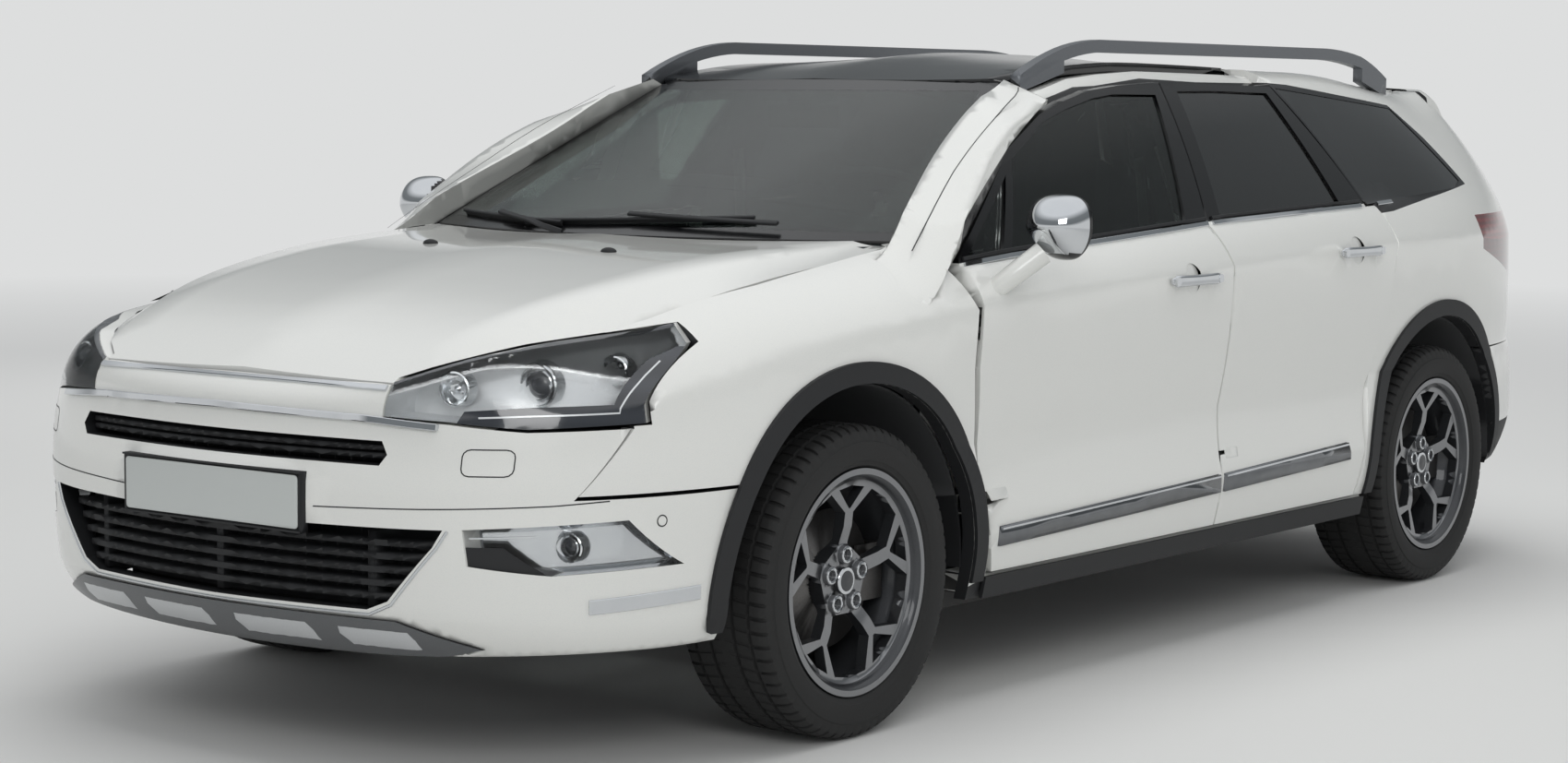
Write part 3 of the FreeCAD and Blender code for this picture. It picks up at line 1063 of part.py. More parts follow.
# Rear axle: subframe, arms, hub carriers with their calipers, springs
rear_x = S.rear_track / 2
rear_parts = [box(-480, 480, rear_y - 60, rear_y + 60, 280, 350)]
for sign, turn in ((1, as_is), (-1, mirrored)):
    rear_parts.append(turn(hub_carrier(rear_y, rear_x, rear_x - 150)))
    rear_parts.append(turn(box(430, rear_x - 60, rear_y - 40, rear_y + 40, 290, 340)))
    rear_parts.append(turn(box(430, rear_x - 150, rear_y - 300, rear_y - 250, 300, 350)))
    rear_parts.append(turn(box(430, 480, rear_y - 300, rear_y + 60, 290, 350)))
    rear_parts.append(turn(rod((450, rear_y - 20, 340), (450, rear_y - 20, LOAD_FLOOR - S.floor_wall), 42)))
    rear_parts.append(turn(box(400, 480, rear_y - 420, rear_y - 290, 300, 340)))
    rear_parts.append(turn(box(400, 480, rear_y - 470, rear_y - 400, 300, 340)))
rear_axle = fuse(rear_parts).cut(floor_pan)

# Wheel liners: a half tub over each wheel, closed at its inner end
LINER_SKIN = 7
liner = []
for y, x0, x1 in ((front_y, 470, half_width - 50), (rear_y, 548, half_width - 62)):
    tub = Part.makeCylinder(S.arch_radius - 1, x1 - x0, Vector(x0, y, axle_z), Vector(1, 0, 0))
    hollow = Part.makeCylinder(S.arch_radius - LINER_SKIN, x1 - x0, Vector(x0 + LINER_SKIN, y, axle_z),
                               Vector(1, 0, 0))
    liner.append(tub.cut(hollow).common(box(0, far, y - 500, y + 500, axle_z - 20, 1000)))
liner_half = Part.makeCompound([s.cut([floor_pan, side_frame, subframe, rear_axle, quarter]) for s in liner])
liners = Part.makeCompound([s for s in liner_half.Solids + mirrored(liner_half).Solids if s.Volume > 1e5])

# Engine, exhaust, dashboard and seats
ENGINE_LIFT = 292
ENGINE_BEHIND = 120
engine = doc.addObject("Part::Box", "engine_block")
engine.setExpression("Length", "sizes.engine_width")
engine.setExpression("Width", "sizes.engine_length")
engine.setExpression("Height", "sizes.engine_height")
engine.setExpression("Placement.Base.x", "-sizes.engine_width / 2")
engine.setExpression("Placement.Base.y", FRONT_AXLE + " - sizes.engine_length - %d" % ENGINE_BEHIND)
engine.setExpression("Placement.Base.z", str(ENGINE_LIFT))

# Exhaust: pipe, middle and rear silencers
PIPE_RADIUS = 27
exhaust = fuse([bar([(60, front_y + 60, 178), (60, rear_y - 560, 178), (300, rear_y - 380, 240),
                     (300, rear_y + 420, 262)], PIPE_RADIUS),
                box(180, 480, rear_y + 400, rear_y + 700, 235, 375),
                box(-20, 140, middle_y - 300, middle_y + 300, 140, 204)])
exhaust = exhaust.cut([rear_axle, floor_pan, subframe])
DASH = [(bulkhead_y, 960), (bulkhead_y, 560), (front_y + 600, 640), (front_y + 780, 800), (front_y + 790, 940),
        (front_y + 700, 1000), (front_y + 480, 1010)]
dash = side_prism(DASH, 12 - ring_in, ring_in - 12)
wheel_centre = Vector(380, front_y + 900, 900)
wheel_axis = Vector(0, 0.92, 0.39)
steering = Part.makeTorus(184, 15, wheel_centre, wheel_axis)
column = rod((380, front_y + 700, 815), tuple(wheel_centre), 26)
spokes = rod(tuple(wheel_centre + Vector(-180, 0, 0)), tuple(wheel_centre + Vector(180, 0, 0)), 13)
dashboard = fuse([dash, steering, column, spokes]).cut([floor_pan, windscreen])
dashboard = max(dashboard.Solids, key=lambda s: s.Volume)


def seat(y, x0, x1, base, tall):
    """A seat from the side: base, cushion, leaning back and headrest."""
    cushion = side_prism([(y - 260, base), (y + 270, base - 20), (y + 270, base + 120), (y - 240, base + 150),
                          (y - 280, base + 110)], x0, x1)
    back = side_prism([(y + 200, base + 60), (y + 330, base + 40), (y + 480, base + tall), (y + 380, base + tall),
                       (y + 190, base + 160)], x0 + 10, x1 - 10)
    middle = (x0 + x1) / 2
    rest = side_prism([(y + 392, base + tall + 10), (y + 480, base + tall + 10), (y + 506, base + tall + 170),
                       (y + 420, base + tall + 170)], middle - 130, middle + 130)
    posts = side_prism([(y + 420, base + tall - 20), (y + 450, base + tall - 20), (y + 460, base + tall + 40),
                        (y + 436, base + tall + 40)], middle - 60, middle + 60)
    return fuse([cushion, back, rest, posts])


seat_y = front_y + 1190
seat_x = 380
front_seats = []
for sign in (-1, 1):
    x0 = sign * seat_x - S.seat_width / 2
    one = fuse([seat(seat_y, x0, x0 + S.seat_width, 440, 620),
                box(x0 + 60, x0 + S.seat_width - 60, seat_y - 200, seat_y + 200, floor_top, 450)])
    front_seats += one.Solids
rear_seat = fuse([seat(seat_y + 880, -640, 640, 430, 560),
                  box(-560, 560, seat_y + 640, seat_y + 1080, floor_top + 0, 440)])
rear_seat = max(rear_seat.cut(floor_pan).Solids, key=lambda s: s.Volume)

# Cowl with the bonnet's hinge arms
cowl = top_prism(symmetric([(0, front_y + 212), (690, front_y + 352), (690, front_y + 426), (0, front_y + 300)]),
                 BULKHEAD_TOP, 1004)
cowl = fuse([cowl] + bonnet_arms)

# Roof rails: a bowed bar whose ends come down to flat feet on the roof. Columns: y, height of its middle line, bulge
rail_z = roof_z + S.rail_rise
rail_r = S.rail_diameter / 2
RAIL_X = 590
RAIL_HALF = 15
RAIL = ((front_y + 1062, roof_z - 84, 5), (front_y + 1260, rail_z - 24, 4), (front_y + 1430, rail_z, 0),
        (rear_y - 200, rail_z, 6), (rear_y + 60, roof_z - 10, 5), (rear_y + 226, roof_z - 72, 0))
rail_top = [(y, z + rail_r, -bulge) for y, z, bulge in RAIL]
rail_low = [(y, z - rail_r, before[2]) for (y, z, _), before in zip(RAIL[:0:-1], RAIL[-2::-1])]
rail = side_prism(rail_top[:-1] + [(rail_top[-1][0], rail_top[-1][1], 0)] + rail_low
                  + [(RAIL[0][0], RAIL[0][1] - rail_r, 0)], RAIL_X - RAIL_HALF, RAIL_X + RAIL_HALF)
rail_feet = [side_prism([(front_y + 1062, roof_z - 110), (front_y + 1062, roof_z - 80), (front_y + 1262, roof_z - 22),
                         (front_y + 1262, roof_z - 60)], RAIL_X - RAIL_HALF, RAIL_X + RAIL_HALF),
             side_prism([(rear_y + 70, roof_z - 66), (rear_y + 70, roof_z - 20), (rear_y + 226, roof_z - 70),
                         (rear_y + 226, roof_z - 110)], RAIL_X - RAIL_HALF, RAIL_X + RAIL_HALF)]
rail = fuse([rail] + rail_feet).cut([roof_side, roof_panel, quarter])
rail = max(rail.Solids, key=lambda s: s.Volume)

node("side_frames", both(side_frame))
node("roof_sides", both(roof_side))
node("rear_quarters", both(quarter))
node("floor_pan", floor_pan)
node("wheel_liners", liners)
node("front_wings", both(wing))
node("roof_panel", roof_panel)
node("roof_rails", both(rail))
node("front_bumper", bumper)
node("rear_bumper", rear_bumper)
node("grille", Part.makeCompound(grille.Solids + nose_bars.Solids))
node("front_lamps", Part.makeCompound(both(lamp_front).Solids + both(fog_lamp).Solids))
node("cladding", cladding)
quarter_glass = quarter_wall(S.glass_wall, -2).common(quarter_hole)
node("fixed_glass", Part.makeCompound(windscreen.Solids + both(quarter_glass).Solids))
node("tail_lamps", both(tail_lamp))
node("cowl", cowl)
nodes.append(engine)
node("front_subframe", subframe)
node("rear_axle", rear_axle)
node("exhaust", exhaust)
node("dashboard", dashboard)
node("seats", Part.makeCompound(front_seats + rear_seat.Solids))
node("bonnet", bonnet)
node("tailgate", gate)
node("tailgate_glass", tail_wall(S.glass_wall, -3).common(rear_glass_hole))

# Nothing is written until every object is sound
doc.recompute()
for made in doc.Objects:
    if "Invalid" in made.State or "Error" in made.State:
        raise ValueError("object %s is in state %s" % (made.Label, made.State))
for made in nodes:
    if made.Shape.isNull() or not made.Shape.isValid() or not made.Shape.Solids:
        raise ValueError("shape of %s is not a sound solid" % made.Label)
os.makedirs("parts", exist_ok=True)
for made in nodes:
    made.Shape.exportStep("parts/%s.step" % made.Label)
    print(made.Label, len(made.Shape.Solids), round(made.Shape.Volume / 1e6, 2))
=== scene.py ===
"""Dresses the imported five-door station wagon: panels, paint, glass, lamps, wheels and cabin, in a studio."""

import json
import logging
import math
from collections.abc import Callable, Iterable, Sequence
from dataclasses import dataclass, field
from enum import Enum

import bmesh
import bpy
from mathutils import Matrix, Vector
from mathutils.bvhtree import BVHTree


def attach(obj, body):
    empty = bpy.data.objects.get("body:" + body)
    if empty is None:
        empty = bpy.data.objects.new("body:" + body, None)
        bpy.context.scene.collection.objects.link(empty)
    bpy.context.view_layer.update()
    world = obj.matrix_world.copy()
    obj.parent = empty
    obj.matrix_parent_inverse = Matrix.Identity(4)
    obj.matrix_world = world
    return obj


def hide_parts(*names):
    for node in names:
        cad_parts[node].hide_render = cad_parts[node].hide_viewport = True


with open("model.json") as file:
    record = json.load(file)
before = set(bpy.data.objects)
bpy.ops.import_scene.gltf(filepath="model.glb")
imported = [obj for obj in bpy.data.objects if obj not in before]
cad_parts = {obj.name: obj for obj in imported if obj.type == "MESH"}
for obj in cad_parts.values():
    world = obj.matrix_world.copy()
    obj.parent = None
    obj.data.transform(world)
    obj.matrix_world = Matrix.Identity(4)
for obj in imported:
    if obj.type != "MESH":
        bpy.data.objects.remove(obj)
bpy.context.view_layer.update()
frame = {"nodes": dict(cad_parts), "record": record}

log = logging.getLogger("station_wagon")
MM = 0.001
SIDES = (("left", 1), ("right", -1))
X, Y, Z = Vector((1, 0, 0)), Vector((0, 1, 0)), Vector((0, 0, 1))

# Driving sizes of the car, as in the CAD, in metres
HALF_LENGTH = 2.4145
HALF_WIDTH = 0.930
FRONT_AXLE_Y = -1.3945
REAR_AXLE_Y = 1.4205
AXLE_Z = 0.339
FRONT_WHEEL_X = 0.793
REAR_WHEEL_X = 0.780
MIDDLE_Y = (FRONT_AXLE_Y + REAR_AXLE_Y) / 2
BELT_Z = 0.995
ROOF_Z = 1.498
SILL_Z = 0.302

# The belt line along the side, as (y, z), from the front door's corner to the tail lamp
BELT = ((-1.04, 0.986), (-0.94, 0.998), (-0.74, 1.013), (0.16, 1.063), (0.885, 1.085), (1.10, 1.091),
        (1.72, 1.118))


def belt_height(y: float) -> float:
    """Gives the belt line's height at a place along the car."""
    for (y0, z0), (y1, z1) in zip(BELT, BELT[1:]):
        if y <= y1:
            return z0 + (z1 - z0) * (y - y0) / (y1 - y0)
    return BELT[-1][1]


# Colours, nodes and finishes
def linear(hex_code: str) -> tuple[float, float, float, float]:
    """Turns an sRGB hex colour into linear light.

    Args:
        hex_code: Six hex digits.

    Returns:
        The colour as linear red, green, blue and an alpha of 1.
    """
    parts = [int(hex_code[i : i + 2], 16) / 255 for i in (0, 2, 4)]
    made = [p / 12.92 if p <= 0.04045 else ((p + 0.055) / 1.055) ** 2.4 for p in parts]
    return (made[0], made[1], made[2], 1.0)


def add(tree: bpy.types.NodeTree, kind: str, links: dict | None = None, **settings: object) -> bpy.types.Node:
    """Adds one node to a tree, with its settings, its input values and its incoming links.

    Args:
        tree: The node tree that gets the node.
        kind: Blender's name of the node's type.
        links: Input name or number to an output socket or a plain value.
        settings: Properties of the node itself.

    Returns:
        The new node.
    """
    node = tree.nodes.new(kind)
    for name, value in settings.items():
        setattr(node, name, value)
    for name, value in (links or {}).items():
        socket = node.inputs[name]
        if isinstance(value, bpy.types.NodeSocket):
            tree.links.new(value, socket)
        else:
            socket.default_value = value
    return node


class Pattern(Enum):
    """What a surface shows when looked at closely."""

    SMOOTH = "smooth"
    FLAKES = "flakes"
    GRAIN = "grain"
    WEAVE = "weave"
    ROAD = "road"
    FLUTES = "flutes"


@dataclass(frozen=True)
class Finish:
    """A real material and how its surface was made.

    Attributes:
        name: Plain name of the finish.
        colour: Base colour, sRGB hex.
        roughness: Roughness of the bare surface.
        metallic: 1 for bare metal.
        coat: Weight of a clear coat.
        pattern: What the surface shows close by.
        size_mm: Real size of the pattern's cell.
        depth_mm: Height of the pattern's relief.
        shade: Second colour that the pattern mixes in, sRGB hex.
        see_through: Transmission weight.
        body: Share of straight light that a pane holds back and tints.
    """

    name: str
    colour: str
    roughness: float
    metallic: float = 0.0
    coat: float = 0.0
    pattern: Pattern = Pattern.SMOOTH
    size_mm: float = 1.0
    depth_mm: float = 0.0
    shade: str = ""
    see_through: float = 0.0
    body: float = 1.0

    def material(self) -> bpy.types.Material:
        """Builds the material once and gives the same one after that.

        Returns:
            The Blender material of this finish.
        """
        found = bpy.data.materials.get(self.name)
        if found:
            return found
        made = bpy.data.materials.new(self.name)
        made.use_nodes = True
        tree = made.node_tree
        shader = tree.nodes["Principled BSDF"]
        shader.inputs["Base Color"].default_value = linear(self.colour)
        shader.inputs["Roughness"].default_value = self.roughness
        shader.inputs["Metallic"].default_value = self.metallic
        shader.inputs["Coat Weight"].default_value = self.coat
        shader.inputs["Coat Roughness"].default_value = 0.03
        shader.inputs["Transmission Weight"].default_value = self.see_through
        if self.body < 1:
            grazing = add(tree, "ShaderNodeFresnel", {"IOR": 1.5}).outputs[0]
            held = add(tree, "ShaderNodeMapRange", {"Value": grazing, "To Min": self.body}).outputs["Result"]
            tree.links.new(held, shader.inputs["Alpha"])
        if self.pattern is not Pattern.SMOOTH:
            self.draw_pattern(tree, shader)
        return made

    def draw_pattern(self, tree: bpy.types.NodeTree, shader: bpy.types.Node) -> None:
        """Adds the pattern's colour and relief to the shader.

        Args:
            tree: The material's node tree.
            shader: Its Principled BSDF.
        """
        place = add(tree, "ShaderNodeTexCoord").outputs["Object"]
        cells = 1 / (self.size_mm * MM)
        if self.pattern is Pattern.FLAKES:
            noise = add(tree, "ShaderNodeTexVoronoi", {"Vector": place, "Scale": cells})
            height = noise.outputs["Distance"]
        elif self.pattern is Pattern.WEAVE:
            waves = [
                add(tree, "ShaderNodeTexWave",
                    {"Vector": place, "Scale": cells / math.tau, "Distortion": 0.4},
                    bands_direction=axis).outputs["Fac"]
                for axis in ("X", "Y", "Z")
            ]
            first = add(tree, "ShaderNodeMath", {0: waves[0], 1: waves[1]}, operation="MULTIPLY").outputs[0]
            height = add(tree, "ShaderNodeMath", {0: first, 1: waves[2]}, operation="MAXIMUM").outputs[0]
        elif self.pattern is Pattern.FLUTES:
            wave = add(tree, "ShaderNodeTexWave", {"Vector": place, "Scale": cells / math.tau},
                       bands_direction="Z")
            height = wave.outputs["Fac"]
        else:
            noise = add(tree, "ShaderNodeTexNoise", {"Vector": place, "Scale": cells, "Detail": 4.0})
            height = noise.outputs["Fac"]
        if self.shade:
            mix = add(tree, "ShaderNodeMix",
                      {"Factor": height, "A": linear(self.colour), "B": linear(self.shade)},
                      data_type="RGBA")
            tree.links.new(mix.outputs["Result"], shader.inputs["Base Color"])
        if self.depth_mm:
            bump = add(tree, "ShaderNodeBump",
                       {"Height": height, "Distance": self.depth_mm * MM, "Strength": 0.6})
            tree.links.new(bump.outputs["Normal"], shader.inputs["Normal"])


# Pearl white lacquer, sprayed over primer with a clear coat: deep gloss and a warm white with a faint spark
PEARL = Finish("pearl_white_lacquer", "E6E6E1", 0.30, coat=1.0, pattern=Pattern.FLAKES, size_mm=2.0,
               shade="DFE0DD")
# Black lacquered plastic of window frames and pillars: a mirror gloss, almost no colour of its own
PIANO_BLACK = Finish("gloss_black_lacquer", "08080A", 0.2, coat=0.25, pattern=Pattern.FLAKES, size_mm=3.0,
                     shade="0B0B0D")
# Moulded polypropylene of arches, sills and cowl: a fine leather-like grain that scatters light
MOULDED = Finish("grained_black_polypropylene", "18191B", 0.6, pattern=Pattern.GRAIN, size_mm=1.6,
                 depth_mm=0.12,
                 shade="1E1F21")
# Chrome plate on plastic: a clean mirror, a little uneven over a hand's width
CHROME = Finish("chrome_plate", "DADCDE", 0.06, metallic=1.0, pattern=Pattern.GRAIN, size_mm=60.0,
                shade="CDD0D4")
# Smoked chrome of the door mouldings
SMOKED = Finish("smoked_chrome", "85878A", 0.12, metallic=1.0, pattern=Pattern.GRAIN, size_mm=40.0,
                shade="6E7072")
# Satin anodised aluminium of the roof rails, dark grey
SATIN = Finish("satin_anodised_aluminium", "74777B", 0.38, metallic=0.7, pattern=Pattern.GRAIN, size_mm=4.0,
               shade="6A6D71")
# Silver lacquer of the skid plates
SILVER = Finish("silver_lacquer", "A9ABAC", 0.38, metallic=0.6, coat=0.3, pattern=Pattern.FLAKES, size_mm=2.0,
                shade="A8AAAC")
# Satin silver of the front skid plate's raised pads, painted lighter as a painted highlight, and the same
# silver painted darker between them as painted shade in the recesses
HIGHLIGHT_SILVER = Finish("satin_silver_painted_highlight", "CBCDCE", 0.34, metallic=0.35, coat=0.4,
                       pattern=Pattern.FLAKES, size_mm=2.0, shade="C2C4C6")
SHADE_SILVER = Finish("silver_lacquer_painted_shade", "6C6E70", 0.42, metallic=0.5, coat=0.3, pattern=Pattern.FLAKES,
                     size_mm=2.0, shade="646668")
# Machined and lacquered aluminium of the wheels' bright faces: fine turning marks under clear coat
MACHINED = Finish("machined_aluminium", "8F9092", 0.3, metallic=1.0, coat=0.4, pattern=Pattern.GRAIN,
                  size_mm=3.0,
                  shade="838487")
# Dark grey wheel paint in the pockets between the spokes
POCKET = Finish("dark_grey_wheel_paint", "3A3B3E", 0.4, metallic=0.6, coat=0.5, pattern=Pattern.FLAKES,
                size_mm=2.0,
                shade="434548")
# Vulcanised rubber with road dust in its grain
RUBBER = Finish("vulcanised_tyre_rubber", "1A1A1B", 0.75, pattern=Pattern.ROAD, size_mm=5.0, depth_mm=0.15,
                shade="242423")
# Laminated greenish glass of the windscreen and the front windows
CLEAR_GLASS = Finish("tinted_safety_glass", "A9BDB4", 0.0, see_through=1.0, coat=1.0, body=0.45)
# Privacy glass of the rear windows, dark in its mass
DARK_GLASS = Finish("privacy_glass", "1D2327", 0.0, see_through=1.0, coat=1.0, body=0.9)
# Dark laminated roof glass with its black print below
ROOF_GLASS = Finish("dark_roof_glass", "0A0C0E", 0.16, coat=0.15, pattern=Pattern.FLAKES, size_mm=5.0,
                    shade="0C0E11")
# Polycarbonate lenses, and the smoked band along a headlamp's lower edge
LENS = Finish("clear_polycarbonate", "F2F6F7", 0.0, see_through=1.0, coat=1.0, body=0.1)
SMOKED_LENS = Finish("smoked_polycarbonate", "25282D", 0.12, coat=1.0, pattern=Pattern.FLUTES, size_mm=30.0,
                     shade="34373D")
# Vapour-plated reflector and satin silver bezels inside the lamps
REFLECTOR = Finish("vapour_plated_reflector", "EDEFF0", 0.12, metallic=0.9, pattern=Pattern.FLUTES,
                   size_mm=11.0,
                   shade="D9DCDE")
BEZEL = Finish("silver_lamp_bezel", "E6E8E9", 0.3, metallic=0.25, coat=0.5, pattern=Pattern.GRAIN,
               size_mm=9.0,
               shade="DADDDF")
# Red acrylic of the tail lamps, moulded with upright flutes, and its darker lower band
RED_LENS = Finish("red_lamp_acrylic", "9C0A10", 0.06, see_through=0.35, coat=1.0, pattern=Pattern.FLUTES,
                  size_mm=9.0,
                  shade="6E060B")
DARK_RED_LENS = Finish("dark_red_lamp_acrylic", "5A060B", 0.06, coat=1.0, pattern=Pattern.FLUTES, size_mm=9.0,
                       shade="40050A")
# Black-painted steel and cast iron under the car, dulled by the road
UNDERBODY = Finish("black_painted_steel", "26272A", 0.6, metallic=0.3, pattern=Pattern.ROAD, size_mm=14.0,
                   depth_mm=0.2,
                   shade="33312E")
CAST = Finish("cast_iron_brake_disc", "77787A", 0.42, metallic=1.0, pattern=Pattern.ROAD, size_mm=3.0,
              shade="66615B")
# Woven seat cloth, belt webbing, loop-pile carpet and the pale lining of roof and pillars
CLOTH = Finish("woven_seat_cloth", "3C3D40", 0.9, pattern=Pattern.WEAVE, size_mm=4.0, depth_mm=0.4,
               shade="2A2B2D")
WEBBING = Finish("belt_webbing", "C9C8C2", 0.8, pattern=Pattern.WEAVE, size_mm=2.0, depth_mm=0.2,
                 shade="B9B8B2")
CARPET = Finish("loop_pile_carpet", "202123", 0.95, pattern=Pattern.ROAD, size_mm=4.0, depth_mm=0.8,
                shade="2A2B2D")
LINING = Finish("felt_roof_lining", "8E8F8C", 0.95, pattern=Pattern.GRAIN, size_mm=2.0, depth_mm=0.2,
                shade="858683")
# Soft moulded skin of the dashboard and the door cards
SKIN = Finish("soft_dashboard_skin", "2B2C2E", 0.7, pattern=Pattern.GRAIN, size_mm=2.5, depth_mm=0.15,
              shade="333437")
# Blank reflective sheet of the number plates
SHEET = Finish("blank_plate_sheet", "C4C8C6", 0.45, coat=0.3, pattern=Pattern.GRAIN, size_mm=1.2,
               shade="BCC0BE")
FLOOR = Finish("studio_floor", "DFDFDD", 0.85)


# Mesh helpers
def show(name: str, mesh: bmesh.types.BMesh, finishes: Iterable[Finish], body: str, slot: str,
         sharp: float = 32) -> bpy.types.Object:
    """Turns a bmesh into a finished piece that rides on a body.

    Args:
        name: Name of the piece.
        mesh: The shape, in the car's frame. It is freed here.
        finishes: One finish per material index.
        body: The CAD body that it moves with.
        slot: The record's material slot; not used.
        sharp: Edges over this angle in degrees stay sharp.

    Returns:
        The new object.
    """
    data = bpy.data.meshes.new(name)
    mesh.to_mesh(data)
    mesh.free()
    for finish in finishes:
        data.materials.append(finish.material())
    data.shade_smooth()
    data.set_sharp_from_angle(angle=math.radians(sharp))
    made = bpy.data.objects.new(name, data)
    bpy.context.scene.collection.objects.link(made)
    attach(made, body)
    return made


def tidy(mesh: bmesh.types.BMesh) -> bmesh.types.BMesh:
    """Merges double points and turns all faces outwards."""
    bmesh.ops.remove_doubles(mesh, verts=mesh.verts, dist=1e-5)
    bmesh.ops.recalc_face_normals(mesh, faces=mesh.faces)
    return mesh


def body_of_node(node: str) -> str:
    """Finds the body that a CAD node belongs to."""
    for body, nodes in frame["record"]["behaviour"]["bodies"].items():
        if node in nodes:
            return body
    raise KeyError(node)


def slot_of_node(node: str) -> str:
    """Finds the record's material slot of a CAD node."""
    for row in frame["record"]["subparts"]:
        if row["node"] == node:
            return row["material_slot"]
    raise KeyError(node)


def copy_of(node: str) -> bmesh.types.BMesh:
    """Copies a CAD node's mesh, merged by distance, in the car's frame."""
    source = frame["nodes"][node]
    mesh = bmesh.new()
    mesh.from_mesh(source.data)
    mesh.transform(source.matrix_world)
    bmesh.ops.remove_doubles(mesh, verts=mesh.verts, dist=1e-5)
    bmesh.ops.dissolve_degenerate(mesh, edges=mesh.edges, dist=1e-6)
    mesh.normal_update()
    for face in mesh.faces:
        face.material_index = 0
    return mesh


def oval(width: float, height: float, corner: float = 0.0, steps: int = 3) -> list[tuple[float, float]]:
    """Gives a rounded rectangle's outline about its middle.

    Args:
        width: Full width.
        height: Full height.
        corner: Radius of the corners.
        steps: Points per corner.

    Returns:
        The outline's points as (across, up).
    """
    points = []
    for k, (sx, sz) in enumerate(((1, 1), (-1, 1), (-1, -1), (1, -1))):
        for i in range(steps):
            turn = math.radians(90 * k + 90 * (i / (steps - 1) if steps > 1 else 0.5))
            points.append((sx * (width / 2 - corner) + corner * math.cos(turn),
                           sz * (height / 2 - corner) + corner * math.sin(turn)))
    return points


def sweep(mesh: bmesh.types.BMesh, rings: Sequence[Sequence[Vector]], closed: bool = False) -> None:
    """Bridges a row of outlines into one solid and closes its ends.

    Args:
        mesh: Gets the faces.
        rings: Outlines with the same number of points.
        closed: The last outline is bridged back to the first.
    """
    loops = []
    for ring in rings:
        verts = [mesh.verts.new(point) for point in ring]
        loops.append([mesh.edges.new((a, b)) for a, b in zip(verts, verts[1:] + verts[:1])])
    for before, after in zip(loops, loops[1:] + (loops[:1] if closed else [])):
        bmesh.ops.bridge_loops(mesh, edges=before + after)
    if not closed:
        for loop in (loops[0], loops[-1]):
            bmesh.ops.contextual_create(mesh, geom=loop)


def along(path: Sequence[Vector], outline: Sequence[tuple[float, float]],
          up: Vector | Sequence[Vector]) -> list:
    """Sets an outline across a path at each of its points.

    Args:
        path: The middle line.
        outline: Points as (across, up).
        up: The outline's up direction, one for all or one for each point.

    Returns:
        One ring of points for each point of the path.
    """
    rings = []
    for i, point in enumerate(path):
        run = (path[min(i + 1, len(path) - 1)] - path[max(i - 1, 0)]).normalized()
        rise = up if isinstance(up, Vector) else up[i]
        across = run.cross(rise).normalized()
        rise = across.cross(run).normalized()
        rings.append([point + across * a + rise * b for a, b in outline])
    return rings


def spun(mesh: bmesh.types.BMesh, profile: Sequence[tuple[float, float]], place: Vector, axis: Vector,
         steps: int = 32, index: int = 0) -> None:
    """Turns a profile round an axis with the spin operator.

    Args:
        mesh: Gets the faces.
        profile: Points as (along the axis, radius).
        place: The profile's zero on the axis.
        axis: Direction of the axis.
        steps: Facets of the full turn.
        index: Material index of the faces.
    """
    axis = axis.normalized()
    out = axis.orthogonal().normalized()
    known = set(mesh.faces)
    verts = [mesh.verts.new(place + axis * a + out * r) for a, r in profile]
    edges = [mesh.edges.new(pair) for pair in zip(verts, verts[1:])]
    bmesh.ops.spin(mesh, geom=verts + edges, cent=place, axis=axis, angle=math.tau, steps=steps,
                   use_merge=True)
    for face in set(mesh.faces) - known:
        face.material_index = index


def block(mesh: bmesh.types.BMesh, low: Sequence[float], high: Sequence[float], edge: float = 0.0,
          turn: Matrix | None = None, index: int = 0) -> None:
    """Adds a box, its edges bevelled, turned about its own middle.

    Args:
        mesh: Gets the faces.
        low: Lowest corner.
        high: Highest corner.
        edge: Width of the bevel.
        turn: Rotation about the middle.
        index: Material index of the faces.
    """
    low, high = Vector(low), Vector(high)
    known = set(mesh.faces)
    size = Matrix.Diagonal((*(high - low), 1))
    place = Matrix.Translation((low + high) / 2) @ (turn or Matrix.Identity(4)) @ size
    verts = bmesh.ops.create_cube(mesh, size=1, matrix=place)["verts"]
    if edge:
        edges = {e for v in verts for e in v.link_edges}
        bmesh.ops.bevel(mesh, geom=list(edges), offset=edge, offset_type="OFFSET", affect="EDGES", segments=2,
                        profile=0.5, material=-1)
    for face in set(mesh.faces) - known:
        face.material_index = index


def score(mesh: bmesh.types.BMesh, outline: Sequence[tuple[float, float]], drop: int,
          closed: bool = True) -> None:
    """Cuts a mesh's faces along an outline that is projected along one axis.

    Args:
        mesh: The mesh to cut.
        outline: Points in the two axes that are left, in their order.
        drop: Number of the axis that the outline is projected along.
        closed: The last point joins the first.
    """
    kept = [i for i in range(3) if i != drop]
    through = Vector((drop == 0, drop == 1, drop == 2))
    ends = list(outline[1:]) + (list(outline[:1]) if closed else [])
    for start, end in zip(outline, ends):
        low = [min(a, b) - MM for a, b in zip(start, end)]
        high = [max(a, b) + MM for a, b in zip(start, end)]
        faces = []
        for face in mesh.faces:
            spans = [[v.co[i] for v in face.verts] for i in kept]
            if all(max(s) > l and min(s) < h for s, l, h in zip(spans, low, high)):
                faces.append(face)
        if not faces:
            continue
        point, run = Vector((0, 0, 0)), Vector((0, 0, 0))
        for i, a, b in zip(kept, start, end):
            point[i], run[i] = a, b - a
        geom = faces + list({e for f in faces for e in f.edges}) + list({v for f in faces for v in f.verts})
        bmesh.ops.bisect_plane(mesh, geom=geom, dist=1e-6, plane_co=point,
                               plane_no=run.cross(through).normalized())


def inside(outline: Sequence[tuple[float, float]], a: float, b: float) -> bool:
    """Tells if a point lies inside a closed outline."""
    hit = False
    for (a0, b0), (a1, b1) in zip(outline, list(outline[1:]) + list(outline[:1])):
        if (b0 > b) != (b1 > b) and a < a0 + (b - b0) * (a1 - a0) / (b1 - b0):
            hit = not hit
    return hit


